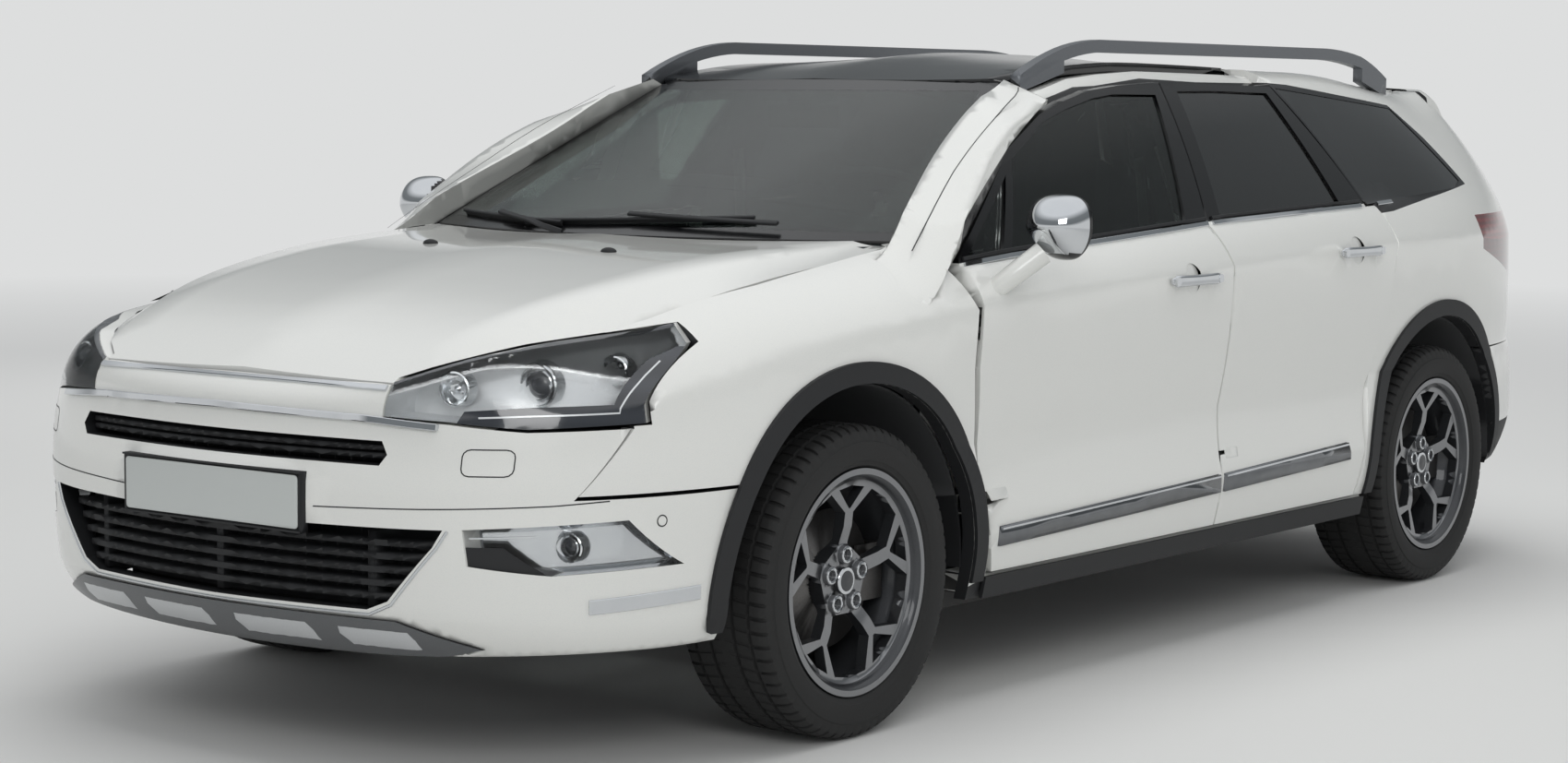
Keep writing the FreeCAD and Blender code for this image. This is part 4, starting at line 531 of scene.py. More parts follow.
class Skin:
    """The outside of some CAD nodes, to lay trim on."""

    known: dict = {}

    def __init__(self, *nodes: str) -> None:
        """Gathers the nodes' meshes in one search tree.

        Args:
            nodes: Names of the CAD nodes.
        """
        if nodes not in self.known:
            trees = []
            for node in nodes:
                mesh = copy_of(node)
                trees.append(BVHTree.FromBMesh(mesh))
                mesh.free()
            self.known[nodes] = trees
        self.trees = self.known[nodes]

    def hit(self, start: Vector, way: Vector) -> tuple[Vector, Vector] | None:
        """Finds where a ray meets the skin.

        Args:
            start: Start of the ray.
            way: Its direction.

        Returns:
            The place and the normal towards the ray, or None.
        """
        best = None
        for tree in self.trees:
            place, normal, _, length = tree.ray_cast(start, way)
            if place and (best is None or length < best[2]):
                best = (place, normal if normal.dot(way) < 0 else -normal, length)
        return best[:2] if best else None

    def lay(self, points: Iterable[Vector], way: Vector) -> tuple[list[Vector], list[Vector]]:
        """Lays a row of points on the skin and smooths their normals.

        Args:
            points: Places in front of the skin.
            way: Direction in which they fall on it.

        Returns:
            The places and their normals.
        """
        hits = [h for h in (self.hit(p - way * 0.6, way) for p in points) if h]
        places = [h[0] for h in hits]
        normals = []
        for i in range(len(hits)):
            near = [hits[k][1] for k in range(max(0, i - 2), min(len(hits), i + 3))]
            normals.append(sum(near, Vector()).normalized())
        return places, normals


def spread(points: Sequence[Sequence[float]], gap: float) -> list[Vector]:
    """Fills a row of corner points with points at most a gap apart."""
    corners = [Vector(p) for p in points]
    made = [corners[0]]
    for a, b in zip(corners, corners[1:]):
        count = max(1, math.ceil((b - a).length / gap))
        made += [a.lerp(b, k / count) for k in range(1, count + 1)]
    return made


@dataclass
class Strip:
    """A trim strip that lies on a panel.

    Attributes:
        name: Name of the piece.
        skin: CAD nodes that it lies on, the first of which carries it.
        path: Corner points in front of the panel.
        way: Direction in which they fall on it.
        width: Width across the run.
        thick: How far it stands off the panel.
        finish: Its finish.
        slot: The record's material slot.
        gap: Distance between the points laid on the panel.
    """

    name: str
    skin: tuple[str, ...]
    path: Sequence[Sequence[float]]
    way: Vector
    width: float
    thick: float
    finish: Finish
    slot: str
    gap: float = 0.03

    def build(self, mesh: bmesh.types.BMesh | None = None) -> bpy.types.Object | None:
        """Lays the strip on its panel.

        Args:
            mesh: Gets the strip in place of an object of its own.

        Returns:
            The new object, if it has one of its own.
        """
        places, normals = Skin(*self.skin).lay(spread(self.path, self.gap), self.way)
        if len(places) < 2:
            log.warning("%s found no panel", self.name)
            return None
        half, edge = self.width / 2, min(self.thick, self.width) * 0.3
        outline = [(-half, -0.5 * self.thick), (half, -0.5 * self.thick), (half, self.thick - edge),
                   (half - edge, self.thick), (edge - half, self.thick), (-half, self.thick - edge)]
        own = mesh is None
        mesh = mesh or bmesh.new()
        sweep(mesh, along(places, outline, normals))
        if not own:
            return None
        return show(self.name, tidy(mesh), (self.finish,), body_of_node(self.skin[0]), self.slot)


Rule = Callable[[Vector, Vector], int]


@dataclass
class Panel:
    """A CAD node shown as one smooth skin, its faces sorted into finishes.

    Attributes:
        node: Name of the CAD node.
        finishes: The finishes, the first of them for every face that no rule takes.
        rule: Gives the finish's number for a face's middle and normal, or -1 for no face at all.
        cuts: Outlines that the skin is cut along first, each with the axis it is projected along.
        sharp: Edges over this angle in degrees stay sharp.
    """

    node: str
    finishes: tuple[Finish, ...]
    rule: Rule | None = None
    cuts: tuple = ()
    sharp: float = 32

    def build(self) -> bpy.types.Object:
        """Copies the node's mesh, merges it, sorts its faces and shows it in the node's place.

        Returns:
            The new object.
        """
        mesh = copy_of(self.node)
        for outline, drop in self.cuts:
            score(mesh, outline, drop)
        mesh.normal_update()
        if self.rule:
            gone = []
            for face in mesh.faces:
                index = self.rule(face.calc_center_median(), face.normal)
                if index < 0:
                    gone.append(face)
                else:
                    face.material_index = index
            bmesh.ops.delete(mesh, geom=gone, context="FACES")
        made = show(self.node + "_skin", mesh, self.finishes, body_of_node(self.node),
                    slot_of_node(self.node),
                    self.sharp)
        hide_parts(self.node)
        return made


def filled(outline: Sequence[tuple[float, float]], rim: float, gap: float) -> bmesh.types.BMesh:
    """Fills an upright outline with a fine sheet, its rim as material 1.

    Args:
        outline: Points as (x, z).
        rim: Width of the rim.
        gap: Distance between the lines that divide the sheet.

    Returns:
        The sheet, in the plane y = 0.
    """
    mesh = bmesh.new()
    mesh.faces.new([mesh.verts.new((x, 0, z)) for x, z in outline])
    ring = bmesh.ops.inset_region(mesh, faces=mesh.faces[:], thickness=rim, use_even_offset=True)["faces"]
    for face in ring:
        face.material_index = 1
    for i, axis in ((0, X), (2, Z)):
        low, high = min(v.co[i] for v in mesh.verts), max(v.co[i] for v in mesh.verts)
        for k in range(1, int((high - low) / gap) + 1):
            geom = mesh.verts[:] + mesh.edges[:] + mesh.faces[:]
            bmesh.ops.bisect_plane(mesh, geom=geom, dist=1e-6, plane_co=axis * (low + k * gap), plane_no=axis)
    return mesh


# Shell panels
CANT_LINE = ((0.80, 1.425), (0.915, 1.418), (1.508, 1.364), (1.62, 1.27), (1.735, 1.135), (1.166, 1.070),
             (0.95, 1.072))
BAND_AROUND_QUARTER_GLASS = ((0.60, 1.43), *CANT_LINE[1:6], (0.95, 1.060))
ROOF_GLASS_END = 0.83
# The windscreen pillars' feet: where they run out on the wings, where they start to, and their height there
PILLAR_FOOT = (-1.170, -0.930, 0.112)
# The windscreen pillars' heads: where they start to flatten, where they end, and their height there
PILLAR_HEAD = (-0.560, -0.340, 1.406)
# The joint along the pillar, as (x, y)
PILLAR_JOINT = ((0.815, -1.082), (0.796, -1.016), (0.777, -0.952), (0.755, -0.880), (0.733, -0.802),
                (0.718, -0.730),
                (0.705, -0.663), (0.688, -0.575), (0.671, -0.496), (0.661, -0.440), (0.652, -0.412),
                (0.643, -0.398))
DOOR_INSIDE_X = HALF_WIDTH - 0.075
HANDLES = {"front": (MIDDLE_Y - 0.048, BELT_Z - 0.061), "rear": (REAR_AXLE_Y - 0.565, BELT_Z - 0.022)}
HANDLE_STAND_OFF = HALF_WIDTH + 0.006
HANDLE_HALF = 0.124
CUP_RADIUS = 0.037
HINGE_COVER_Z = (0.467, 0.494)
# Front and rear edge of the cover, and how far its front edge leans
HINGE_COVERS = {"front": (-0.9185, -0.838, 0.011), "rear": (0.1660, 0.232, 0.0)}
# The pads of the front skid plate, their silver painted lighter as a painted highlight: their ends as x, and
# their lower and upper edge
SKID_PADS = ((-0.495, -0.320), (-0.250, -0.042), (0.042, 0.250), (0.320, 0.495))
SKID_PAD_Z = (0.264, 0.314)
SKID_PLATE_BACK = -2.2
MOULDINGS = {
    "front": (FRONT_AXLE_Y + 0.520, MIDDLE_Y + 0.112, SILL_Z + 0.058, SILL_Z + 0.084),
    "rear": (MIDDLE_Y + 0.132, REAR_AXLE_Y - 0.590, SILL_Z + 0.084, SILL_Z + 0.105),
}


def circle(a: float, b: float, radius: float, steps: int = 24) -> tuple[tuple[float, float], ...]:
    """Gives a circle's outline in two axes."""
    return tuple((a + radius * math.cos(k * math.tau / steps), b + radius * math.sin(k * math.tau / steps))
                 for k in range(steps))


WINDOW_LINE = ((1.0, 1.417), (0.915, 1.415), (0.775, 1.421), (0.477, 1.421), (0.198, 1.428), (-0.039, 1.407),
               (-0.138, 1.403), (-0.276, 1.376), (-0.405, 1.344), (-0.603, 1.262), (-0.840, 1.142),
               (-1.085, 1.022))
BLACK_SIDE = tuple((y, z + 0.004) for y, z in BELT if y < 1.0) + ((1.10, 1.080),) + WINDOW_LINE
ARCH_EDGE = 0.450
# The wing's upper side just ahead of the windscreen pillar, as (x, z)
WING_SECTION = ((0.74, 1.027), (0.78, 1.011), (0.80, 1.000), (0.82, 0.987), (0.84, 0.972), (0.86, 0.954),
                (0.88, 0.933),
                (0.90, 0.905))


def wing_height(x: float) -> float:
    """Gives the height of the wing's upper side ahead of the windscreen pillar."""
    for (a, low), (b, high) in zip(WING_SECTION, WING_SECTION[1:]):
        if x <= b:
            return low + (high - low) * (x - a) / (b - a)
    return WING_SECTION[-1][1]


def in_arch(place: Vector, normal: Vector) -> bool:
    """Tells if a face is the inner edge of a wheel arch."""
    near = min(math.hypot(place.y - y, place.z - AXLE_Z) for y in (FRONT_AXLE_Y, REAR_AXLE_Y))
    return near < ARCH_EDGE and abs(normal.x) < 0.7


@dataclass
class Door:
    """A door: painted skin, black window frame, belt strip, handle in its cup, lower moulding and card.

    Attributes:
        end: front or rear.
        side: left or right.
        sign: 1 on the left, -1 on the right.
    """

    end: str
    side: str
    sign: int
    node: str = field(init=False)

    def __post_init__(self) -> None:
        """Names the door's node."""
        self.node = f"door_{self.end}_{self.side}"

    def build(self) -> None:
        """Builds the skin, the strips and the cup."""
        handle_y, handle_z = HANDLES[self.end]
        y0, y1, z0, z1 = MOULDINGS[self.end]
        moulding = ((y0, z0 - 0.001), (y1, z1 - 0.001), (y1 - 0.005, z1 + 0.047), (y0, z0 + 0.046))
        frame_area = tuple((y, z + 0.004) for y, z in BELT) + ((1.72, 1.55), (-1.04, 1.55))
        cup = circle(handle_y, handle_z, CUP_RADIUS, 32)

        def rule(place: Vector, normal: Vector) -> int:
            x, y, z = abs(place.x), place.y, place.z
            outward = normal.x * self.sign
            if inside(frame_area, y, z):
                return 4 if outward < -0.4 else 1
            if x > HANDLE_STAND_OFF and abs(y - handle_y) < HANDLE_HALF and abs(z - handle_z) < 0.03:
                return -1
            if in_arch(place, normal):
                return 2
            if inside(moulding, y, z) and x > HALF_WIDTH - 0.06 and outward > -0.5:
                return 3
            if outward > 0.5 and x > HALF_WIDTH - 0.05 and inside(cup, y, z):
                return -1
            return 4 if outward < -0.4 and x < DOOR_INSIDE_X + 0.02 else 0

        Panel(self.node, (PEARL, PIANO_BLACK, MOULDED, SMOKED, SKIN), rule,
              ((frame_area, 0), (moulding, 0), (cup, 0))).build()
        self.build_cup(handle_y, handle_z)
        self.build_handle(handle_y, handle_z)
        self.build_strips(y0, y1, z0, z1)
        self.build_hinge_cover()

    def skin_x(self, y: float, z: float) -> float:
        """Gives the painted skin's distance from the car's middle, clear of handle and cup."""
        found = Skin(self.node).hit(Vector((self.sign * 1.3, y, z)), X * -self.sign)
        return abs(found[0].x) if found else HALF_WIDTH - 0.010

    def build_cup(self, y: float, z: float) -> None:
        """Sinks a round finger cup behind the handle, its rim flush with the door's skin."""
        above, below = (self.skin_x(y, z + up) for up in (CUP_RADIUS + 0.004, -CUP_RADIUS - 0.004))
        mesh = bmesh.new()
        rings = []
        for share, depth in ((1.015, -0.0004), (0.985, 0.0006), (0.93, 0.006), (0.74, 0.0125),
                             (0.40, 0.0165), (0.06, 0.018)):
            ring = []
            for a, b in circle(y, z, CUP_RADIUS * share, 32):
                mid = (b - z) / CUP_RADIUS
                x = above * (1 + mid) / 2 + below * (1 - mid) / 2
                ring.append(Vector((self.sign * (x - depth), a, b)))
            rings.append(ring)
        sweep(mesh, rings)
        show(self.node + "_cup", tidy(mesh), (PEARL,), self.node, "paint")

    def build_handle(self, y: float, z: float) -> None:
        """Bows a chrome grip over the cup, thick at its ends and slim in the middle."""
        mesh = bmesh.new()
        steps = 16
        rings = []
        for k in range(steps + 1):
            t = 2 * k / steps - 1
            end = math.sqrt(max(0.0, 1 - abs(t) ** 8))
            tall = (0.0265 + 0.006 * t * t) * (0.35 + 0.65 * end)
            thick = 0.014 * (0.4 + 0.6 * end)
            x = HANDLE_STAND_OFF + 0.009 - 0.006 * t ** 6
            rings.append([Vector((self.sign * (x + a), y + t * HANDLE_HALF * 0.96, z - 0.003 + b))
                          for a, b in oval(thick, tall, thick * 0.45, 4)])
        sweep(mesh, rings)
        for t in (-0.84, 0.84):
            low = self.skin_x(y + t * HANDLE_HALF, z) - 0.003
            foot = [Vector((self.sign * low, y + t * HANDLE_HALF, z - 0.003)),
                    Vector((self.sign * (HANDLE_STAND_OFF + 0.006), y + t * HANDLE_HALF, z - 0.003))]
            sweep(mesh, along(foot, oval(0.022, 0.020, 0.006, 3), Z))
        show(self.node + "_grip", tidy(mesh), (CHROME,), self.node, "chrome", 40)

    def build_hinge_cover(self) -> None:
        """Closes the door's skin over its low hinge with a thin painted plate."""
        mesh = bmesh.new()
        y0, y1, lean = HINGE_COVERS[self.end]
        low_z, high_z = HINGE_COVER_Z
        middle = (y0 + y1) / 2
        low, high = self.skin_x(middle, low_z), self.skin_x(middle, high_z)
        rings = []
        for y, share in ((y0, 1.0), (y0 + 0.003, 1.0), (middle, 0.0), (y1 - 0.003, 0.0), (y1, 0.0)):
            out = -0.0008 if y in (y0, y1) else 0.0009
            rings.append([Vector((self.sign * (x + (out if k in (1, 2) else -0.0008)),
                                  y + lean * share * (k < 2), z))
                          for k, (x, z) in enumerate(((low, low_z), (low - 0.0003, low_z + 0.002),
                                                      (high + 0.0003, high_z - 0.002), (high, high_z)))])
        sweep(mesh, rings)
        show(self.node + "_hinge_cover", tidy(mesh), (PEARL,), self.node, "paint")

    def build_strips(self, y0: float, y1: float, z0: float, z1: float) -> None:
        """Lays the bright belt strip, the seal over it and the moulding's bright upper edge."""
        belt = {"front": (-0.925, 0.148), "rear": (0.176, 1.078)}[self.end]
        for part, lift, width, finish, slot in (("belt_strip", 0.000, 0.013, CHROME, "chrome"),
                                                ("belt_seal", 0.012, 0.009, MOULDED, "trim")):
            path = [(self.sign, y, belt_height(y) + lift) for y in (belt[0], -0.74, 0.0,
                                                                    belt[1]) if belt[0] <= y <= belt[1]]
            if self.end == "rear":
                path = [(self.sign, y, belt_height(y) + lift) for y in (belt[0], 0.5, 0.885, belt[1])]
            Strip(f"{self.node}_{part}", (self.node, self.node.replace("door_", "door_glass_")), path,
                  X * -self.sign, width, 0.005, finish, slot).build()
        Strip(self.node + "_moulding_edge", (self.node,),
              [(self.sign, y0 + 0.004, z0 + 0.040), (self.sign, y1 - 0.008, z1 + 0.041)],
              X * -self.sign, 0.005, 0.0015, CHROME, "chrome").build()


@dataclass
class Shell:
    """The fixed body: roof, sides, wings, bumpers, floor and what closes them."""

    def build(self) -> None:
        """Builds all fixed panels."""
        self.build_sides()
        self.build_roof()
        self.build_ends()
        self.build_lids()
        self.build_below()

    def build_sides(self) -> None:
        """Shows pillars, roof sides, quarters and wings."""
        def pillar_rule(place: Vector, normal: Vector) -> int:
            if abs(place.x) < HALF_WIDTH - 0.11 and place.z < 0.48 or in_arch(place, normal):
                return 3
            if normal.x * place.x < -0.25 * abs(place.x):
                return 2
            return 1 if inside(BLACK_SIDE, place.y, place.z) else 0

        def side_rule(place: Vector, normal: Vector) -> int:
            if normal.x * place.x < -0.2 * abs(place.x) or normal.z < -0.6:
                return 1
            black = abs(normal.x) > 0.5 and place.y > PILLAR_FOOT[1] and inside(BLACK_SIDE, place.y, place.z)
            return 2 if black else 0

        def quarter_rule(place: Vector, normal: Vector) -> int:
            if in_arch(place, normal):
                return 3
            if normal.x * place.x < -0.2 * abs(place.x):
                return 2
            return 1 if inside(BAND_AROUND_QUARTER_GLASS, place.y, place.z) else 0

        def wing_rule(place: Vector, normal: Vector) -> int:
            low = place.y > -1.0 and place.z < 0.285
            # The wing's forward-facing end wall beside the headlamp is painted black as painted shadow of the
            # gap behind the lamp's gasket
            seat = normal.y < -0.9 and place.y < -1.7 and place.z > 0.7
            return int(low or seat or in_arch(place, normal) or normal.x * place.x < -0.3 * abs(place.x))

        Panel("side_frames", (PEARL, PIANO_BLACK, SKIN, UNDERBODY), pillar_rule, ((BLACK_SIDE, 0),)).build()
        self.build_pillars(side_rule)
        Panel("rear_quarters", (PEARL, PIANO_BLACK, SKIN, MOULDED), quarter_rule,
              ((BAND_AROUND_QUARTER_GLASS, 0),)).build()
        Panel("front_wings", (PEARL, MOULDED), wing_rule).build()
        for side, sign in SIDES:
            path = [(sign, y, belt_height(y)) for y in (1.095, 1.19)]
            Strip(f"quarter_belt_strip_{side}", ("rear_quarters",), path, X * -sign, 0.013, 0.005, CHROME,
                  "chrome").build()

    def build_pillars(self, rule: Rule) -> None:
        """Shows the windscreen pillars, their feet run out on the wings, with a thin joint along them.

        Args:
            rule: Sorts the faces.
        """
        mesh = copy_of("roof_sides")
        score(mesh, BLACK_SIDE, 0)
        start, end, rise = PILLAR_FOOT
        planes = [(Y, start + (end - start) * k / 18) for k in range(19)]
        planes += [(X, sign * (0.77 + 0.012 * k)) for k in range(10) for sign in (1, -1)]
        for axis, far in planes:
            foot = [f for f in mesh.faces if min(v.co.y for v in f.verts) < end]
            geom = foot + list({e for f in foot for e in f.edges}) + list({v for f in foot for v in f.verts})
            bmesh.ops.bisect_plane(mesh, geom=geom, dist=1e-6, plane_no=axis, plane_co=axis * far)
        mesh.normal_update()
        for face in mesh.faces:
            face.material_index = rule(face.calc_center_median(), face.normal)
        for vert in mesh.verts:
            place = vert.co
            if place.y < end:
                run = max(0.0, place.y - start) / (end - start)
                base = wing_height(abs(place.x)) - 0.005 * (1 - run) + 0.10 * (place.y - start)
                place.z = min(place.z, base + rise * run ** 1.6)
            elif place.y > PILLAR_HEAD[0]:
                top = PILLAR_HEAD[2] - 0.32 * (abs(place.x) - 0.60) + 0.22 * (place.y - PILLAR_HEAD[1])
                place.z = min(place.z, top)
        made = show("roof_sides_skin", mesh, (PEARL, LINING, PIANO_BLACK), "car_body", "paint", 40)
        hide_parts("roof_sides")
        for side, sign in SIDES:
            path = [(sign * x, y, 2.0) for x, y in PILLAR_JOINT]
            Strip(f"pillar_joint_{side}", ("roof_sides",), path, -Z, 0.0028, 0.0004, MOULDED, "trim",
                  0.02).build()

    def build_roof(self) -> None:
        """Shows the glass roof, its lining and the rails."""
        line = ((-1.0, ROOF_GLASS_END), (1.0, ROOF_GLASS_END))

        def roof_rule(place: Vector, normal: Vector) -> int:
            if normal.z < -0.25:
                return 2
            return 1 if place.y > ROOF_GLASS_END else 0

        Panel("roof_panel", (ROOF_GLASS, PEARL, LINING), roof_rule, ((line, 2),)).build()
        foot_end = FRONT_AXLE_Y + 1.262

        def rail_rule(place: Vector, normal: Vector) -> int:
            below = place.z < ROOF_Z - 0.030 and place.y < foot_end
            return 1 if below and normal.z < -0.2 else 0

        Panel("roof_rails", (SATIN, MOULDED), rail_rule).build()
        self.build_header()
        skin = Skin("roof_panel")
        for side, sign in SIDES:
            edge = [skin.hit(Vector((sign * 0.550, y, 2.0)), -Z) for y in (-0.29, -0.20, -0.05, 0.15, 0.40,
                                                                           0.65, 0.80)]
            path = [Vector((sign * 0.567, found[0].y, found[0].z - 0.006)) for found in edge if found]
            mesh = bmesh.new()
            sweep(mesh, along(path, oval(0.026, 0.006, 0.002, 3), Z))
            show(f"roof_seal_{side}", tidy(mesh), (MOULDED,), "car_body", "trim")

    def build_header(self) -> None:
        """Closes the joint between windscreen and roof panel with a black strip."""
        skin = Skin("fixed_glass", "roof_panel")
        rings = []
        for k in range(29):
            x = 0.04 * (k - 14)
            hits = [skin.hit(Vector((x, -0.55 + 0.005 * step, 2.0)), -Z) for step in range(61)]
            gap = [i for i, found in enumerate(hits) if found is None]
            if not gap or gap[0] == 0 or gap[-1] == 60:
                continue
            front, back = hits[gap[0] - 1][0] - Y * 0.008, hits[gap[-1] + 1][0] + Y * 0.008
            rings.append([front - Z * 0.0042, back - Z * 0.0015, back - Z * 0.0035, front - Z * 0.0062])
        log.info("header strip: %d of 29 sections", len(rings))
        if len(rings) > 1:
            mesh = bmesh.new()
            sweep(mesh, rings)
            show("windscreen_header", tidy(mesh), (PIANO_BLACK,), "car_body", "black_gloss")

    def build_ends(self) -> None:
        """Shows both bumpers, the grille, the bars and the skid plates."""
        plate_half, plate_low, plate_high, plate_back = 0.276, 0.490, 0.626, 0.0215 - HALF_LENGTH

        def nose_rule(place: Vector, normal: Vector) -> int:
            heading = Vector((place.x, place.y + 1.55, 0)).normalized()
            held = abs(place.x) < plate_half and plate_low < place.z < plate_high and place.y < plate_back
            if held or in_arch(place, normal):
                return 1
            return 0 if normal.dot(heading) > 0.12 or (normal.z > 0.35 and place.z > 0.72) else 1

        def tail_rule(place: Vector, normal: Vector) -> int:
            heading = Vector((place.x, place.y - 1.55, 0)).normalized()
            if in_arch(place, normal):
                return 1
            if normal.dot(heading) > 0.12 or (normal.z > 0.35 and place.z > 0.6):
                return 1 if place.z < 0.42 else 0
            return 1

        lower = ((-1.0, 0.42), (1.0, 0.42))
        Panel("front_bumper", (PEARL, MOULDED), nose_rule).build()
        Panel("rear_bumper", (PEARL, MOULDED), tail_rule, ((lower, 1),)).build()
        Panel("grille", (MOULDED, CHROME), lambda place, normal: int(place.z > 0.705)).build()

        def clad_rule(place: Vector, normal: Vector) -> int:
            bright = abs(place.y) > 2.2 and abs(place.x) < 0.63 and abs(normal.y) > 0.05
            # Front plate faces take the silver painted darker as painted shade between the pads, rear plate
            # faces the plain silver
            return int(bright) * (2 if place.y < 0 else 1)

        Panel("cladding", (MOULDED, SILVER, SHADE_SILVER), clad_rule).build()
        self.build_skid_pads()
        for name, ends, width in (("upper_bar", ((-0.428, 0.791), (0.0, 0.7925), (0.428, 0.791)), 0.014),
                                  ("lower_bar",
                                   ((-0.556, 0.722), (-0.380, 0.733), (0.0, 0.738), (0.380, 0.733),
                                                 (0.556, 0.722)), 0.014)):
            Strip(name, ("front_bumper", "grille"), [(x, -3.0, z) for x, z in ends], Y, width, 0.005,
                  CHROME, "chrome",
                  0.02).build()

    def build_skid_pads(self) -> None:
        """Raises four pads on the front skid plate, their silver painted lighter as a painted highlight."""
        skin = Skin("cladding")
        mesh = bmesh.new()
        low, high = SKID_PAD_Z
        for x0, x1 in SKID_PADS:
            outline = ((x0, high), (x1, high), (x1 + 0.012, low), (x0 - 0.012, low))
            pad = filled(outline, 0.008, 0.03)
            beside = []
            for vert in pad.verts:
                found = skin.hit(Vector((vert.co.x, -3.0, vert.co.z)), Y)
                if found and found[0].y < SKID_PLATE_BACK:
                    vert.co = found[0] + found[1] * (-0.001 if vert.is_boundary else 0.005)
                else:
                    beside.append(vert)
            bmesh.ops.delete(pad, geom=beside, context="VERTS")
            data = bpy.data.meshes.new("pad")
            pad.to_mesh(data)
            pad.free()
            mesh.from_mesh(data)
            bpy.data.meshes.remove(data)
        for face in mesh.faces:
            face.material_index = 0
        show("skid_pads", mesh, (HIGHLIGHT_SILVER,), "car_body", "silver", 60)

    def build_lids(self) -> None:
        """Shows bonnet and tailgate."""
        Panel("bonnet", (PEARL, UNDERBODY), lambda place, normal: int(normal.z < -0.25)).build()
        Panel("tailgate", (PEARL, SKIN), lambda place,
              normal: int(normal.y < -0.25 and normal.z < 0.3)).build()

    def build_below(self) -> None:
        """Shows floor, liners, axles and exhaust."""

        def floor_rule(place: Vector, normal: Vector) -> int:
            return int(normal.z > 0.4 and -1.0 < place.y < 2.3 and place.z > 0.18)

        Panel("floor_pan", (UNDERBODY, CARPET), floor_rule).build()
        for node, finish in (("wheel_liners", MOULDED), ("cowl", MOULDED), ("engine_block", CAST),
                             ("front_subframe", UNDERBODY), ("rear_axle", UNDERBODY), ("exhaust", UNDERBODY),
                             ("knuckle_left", CAST), ("knuckle_right", CAST)):
            Panel(node, (finish,)).build()


# Glass
SCREEN_CLEAR = ((-0.700, 1.068), (0.700, 1.068), (0.510, 1.392), (-0.510, 1.392))


@dataclass
class Glazing:
    """Windscreen with its black border, side windows and the tailgate's window."""

    def build(self) -> None:
        """Builds all panes."""

        def border(place: Vector, normal: Vector) -> int:
            if place.y > 0:
                return 1
            return 0 if inside(SCREEN_CLEAR, place.x, place.z) else 2

        Panel("fixed_glass", (CLEAR_GLASS, DARK_GLASS, PIANO_BLACK), border, ((SCREEN_CLEAR, 1),)).build()
        for side, _ in SIDES:
            Panel(f"door_glass_front_{side}", (CLEAR_GLASS,)).build()
            Panel(f"door_glass_rear_{side}", (DARK_GLASS,)).build()
        Panel("tailgate_glass", (DARK_GLASS,)).build()


# Lamps
@dataclass(frozen=True)
class Unit:
    """One light unit inside a lamp.

    Attributes:
        place: Where the lamp's skin shows its middle.
        radius: Radius of its bowl.
        ball: Radius of a projector's lens, or 0 for a plain reflector.
        depth: How far its rim lies behind the lamp's skin.
    """

    place: tuple[float, float, float]
    radius: float
    ball: float = 0.0
    depth: float = 0.016


HEAD_OUTLINE = ((0.436, 0.738), (0.436, 0.804), (0.600, 0.868), (0.760, 0.912), (0.802, 0.874),
                (0.832, 0.726),
                (0.704, 0.720), (0.566, 0.733))
FOG_OUTLINE = ((0.618, 0.452), (0.612, 0.524), (0.830, 0.537), (0.868, 0.440), (0.744, 0.432))
HEAD_UNITS = (
    Unit((0.569, -2.289, 0.796), 0.031, depth=0.026),
    Unit((0.692, -2.181, 0.803), 0.038, ball=0.026, depth=0.042),
    Unit((0.762, -2.032, 0.826), 0.027, depth=0.036),
)
FOG_UNITS = (Unit((0.764, -2.169, 0.487), 0.027, ball=0.017, depth=0.022),)
# The smoked band along the headlamp's foot and its outer end, and the strip along its top
SMOKED_BAND = ((0.572, 0.700), (0.600, 0.754), (0.700, 0.762), (0.796, 0.764), (0.779, 0.846), (0.792, 0.868),
               (0.900, 0.868), (0.900, 0.700))
TOP_BAND = ((0.430, 0.796), (0.598, 0.859), (0.756, 0.902), (0.790, 0.930), (0.600, 0.930), (0.430, 0.850))
FOG_VENT = ((0.600, 0.489), (0.676, 0.489), (0.742, 0.426), (0.600, 0.420))
SIGHT = Vector((-0.606, 0.790, -0.092))


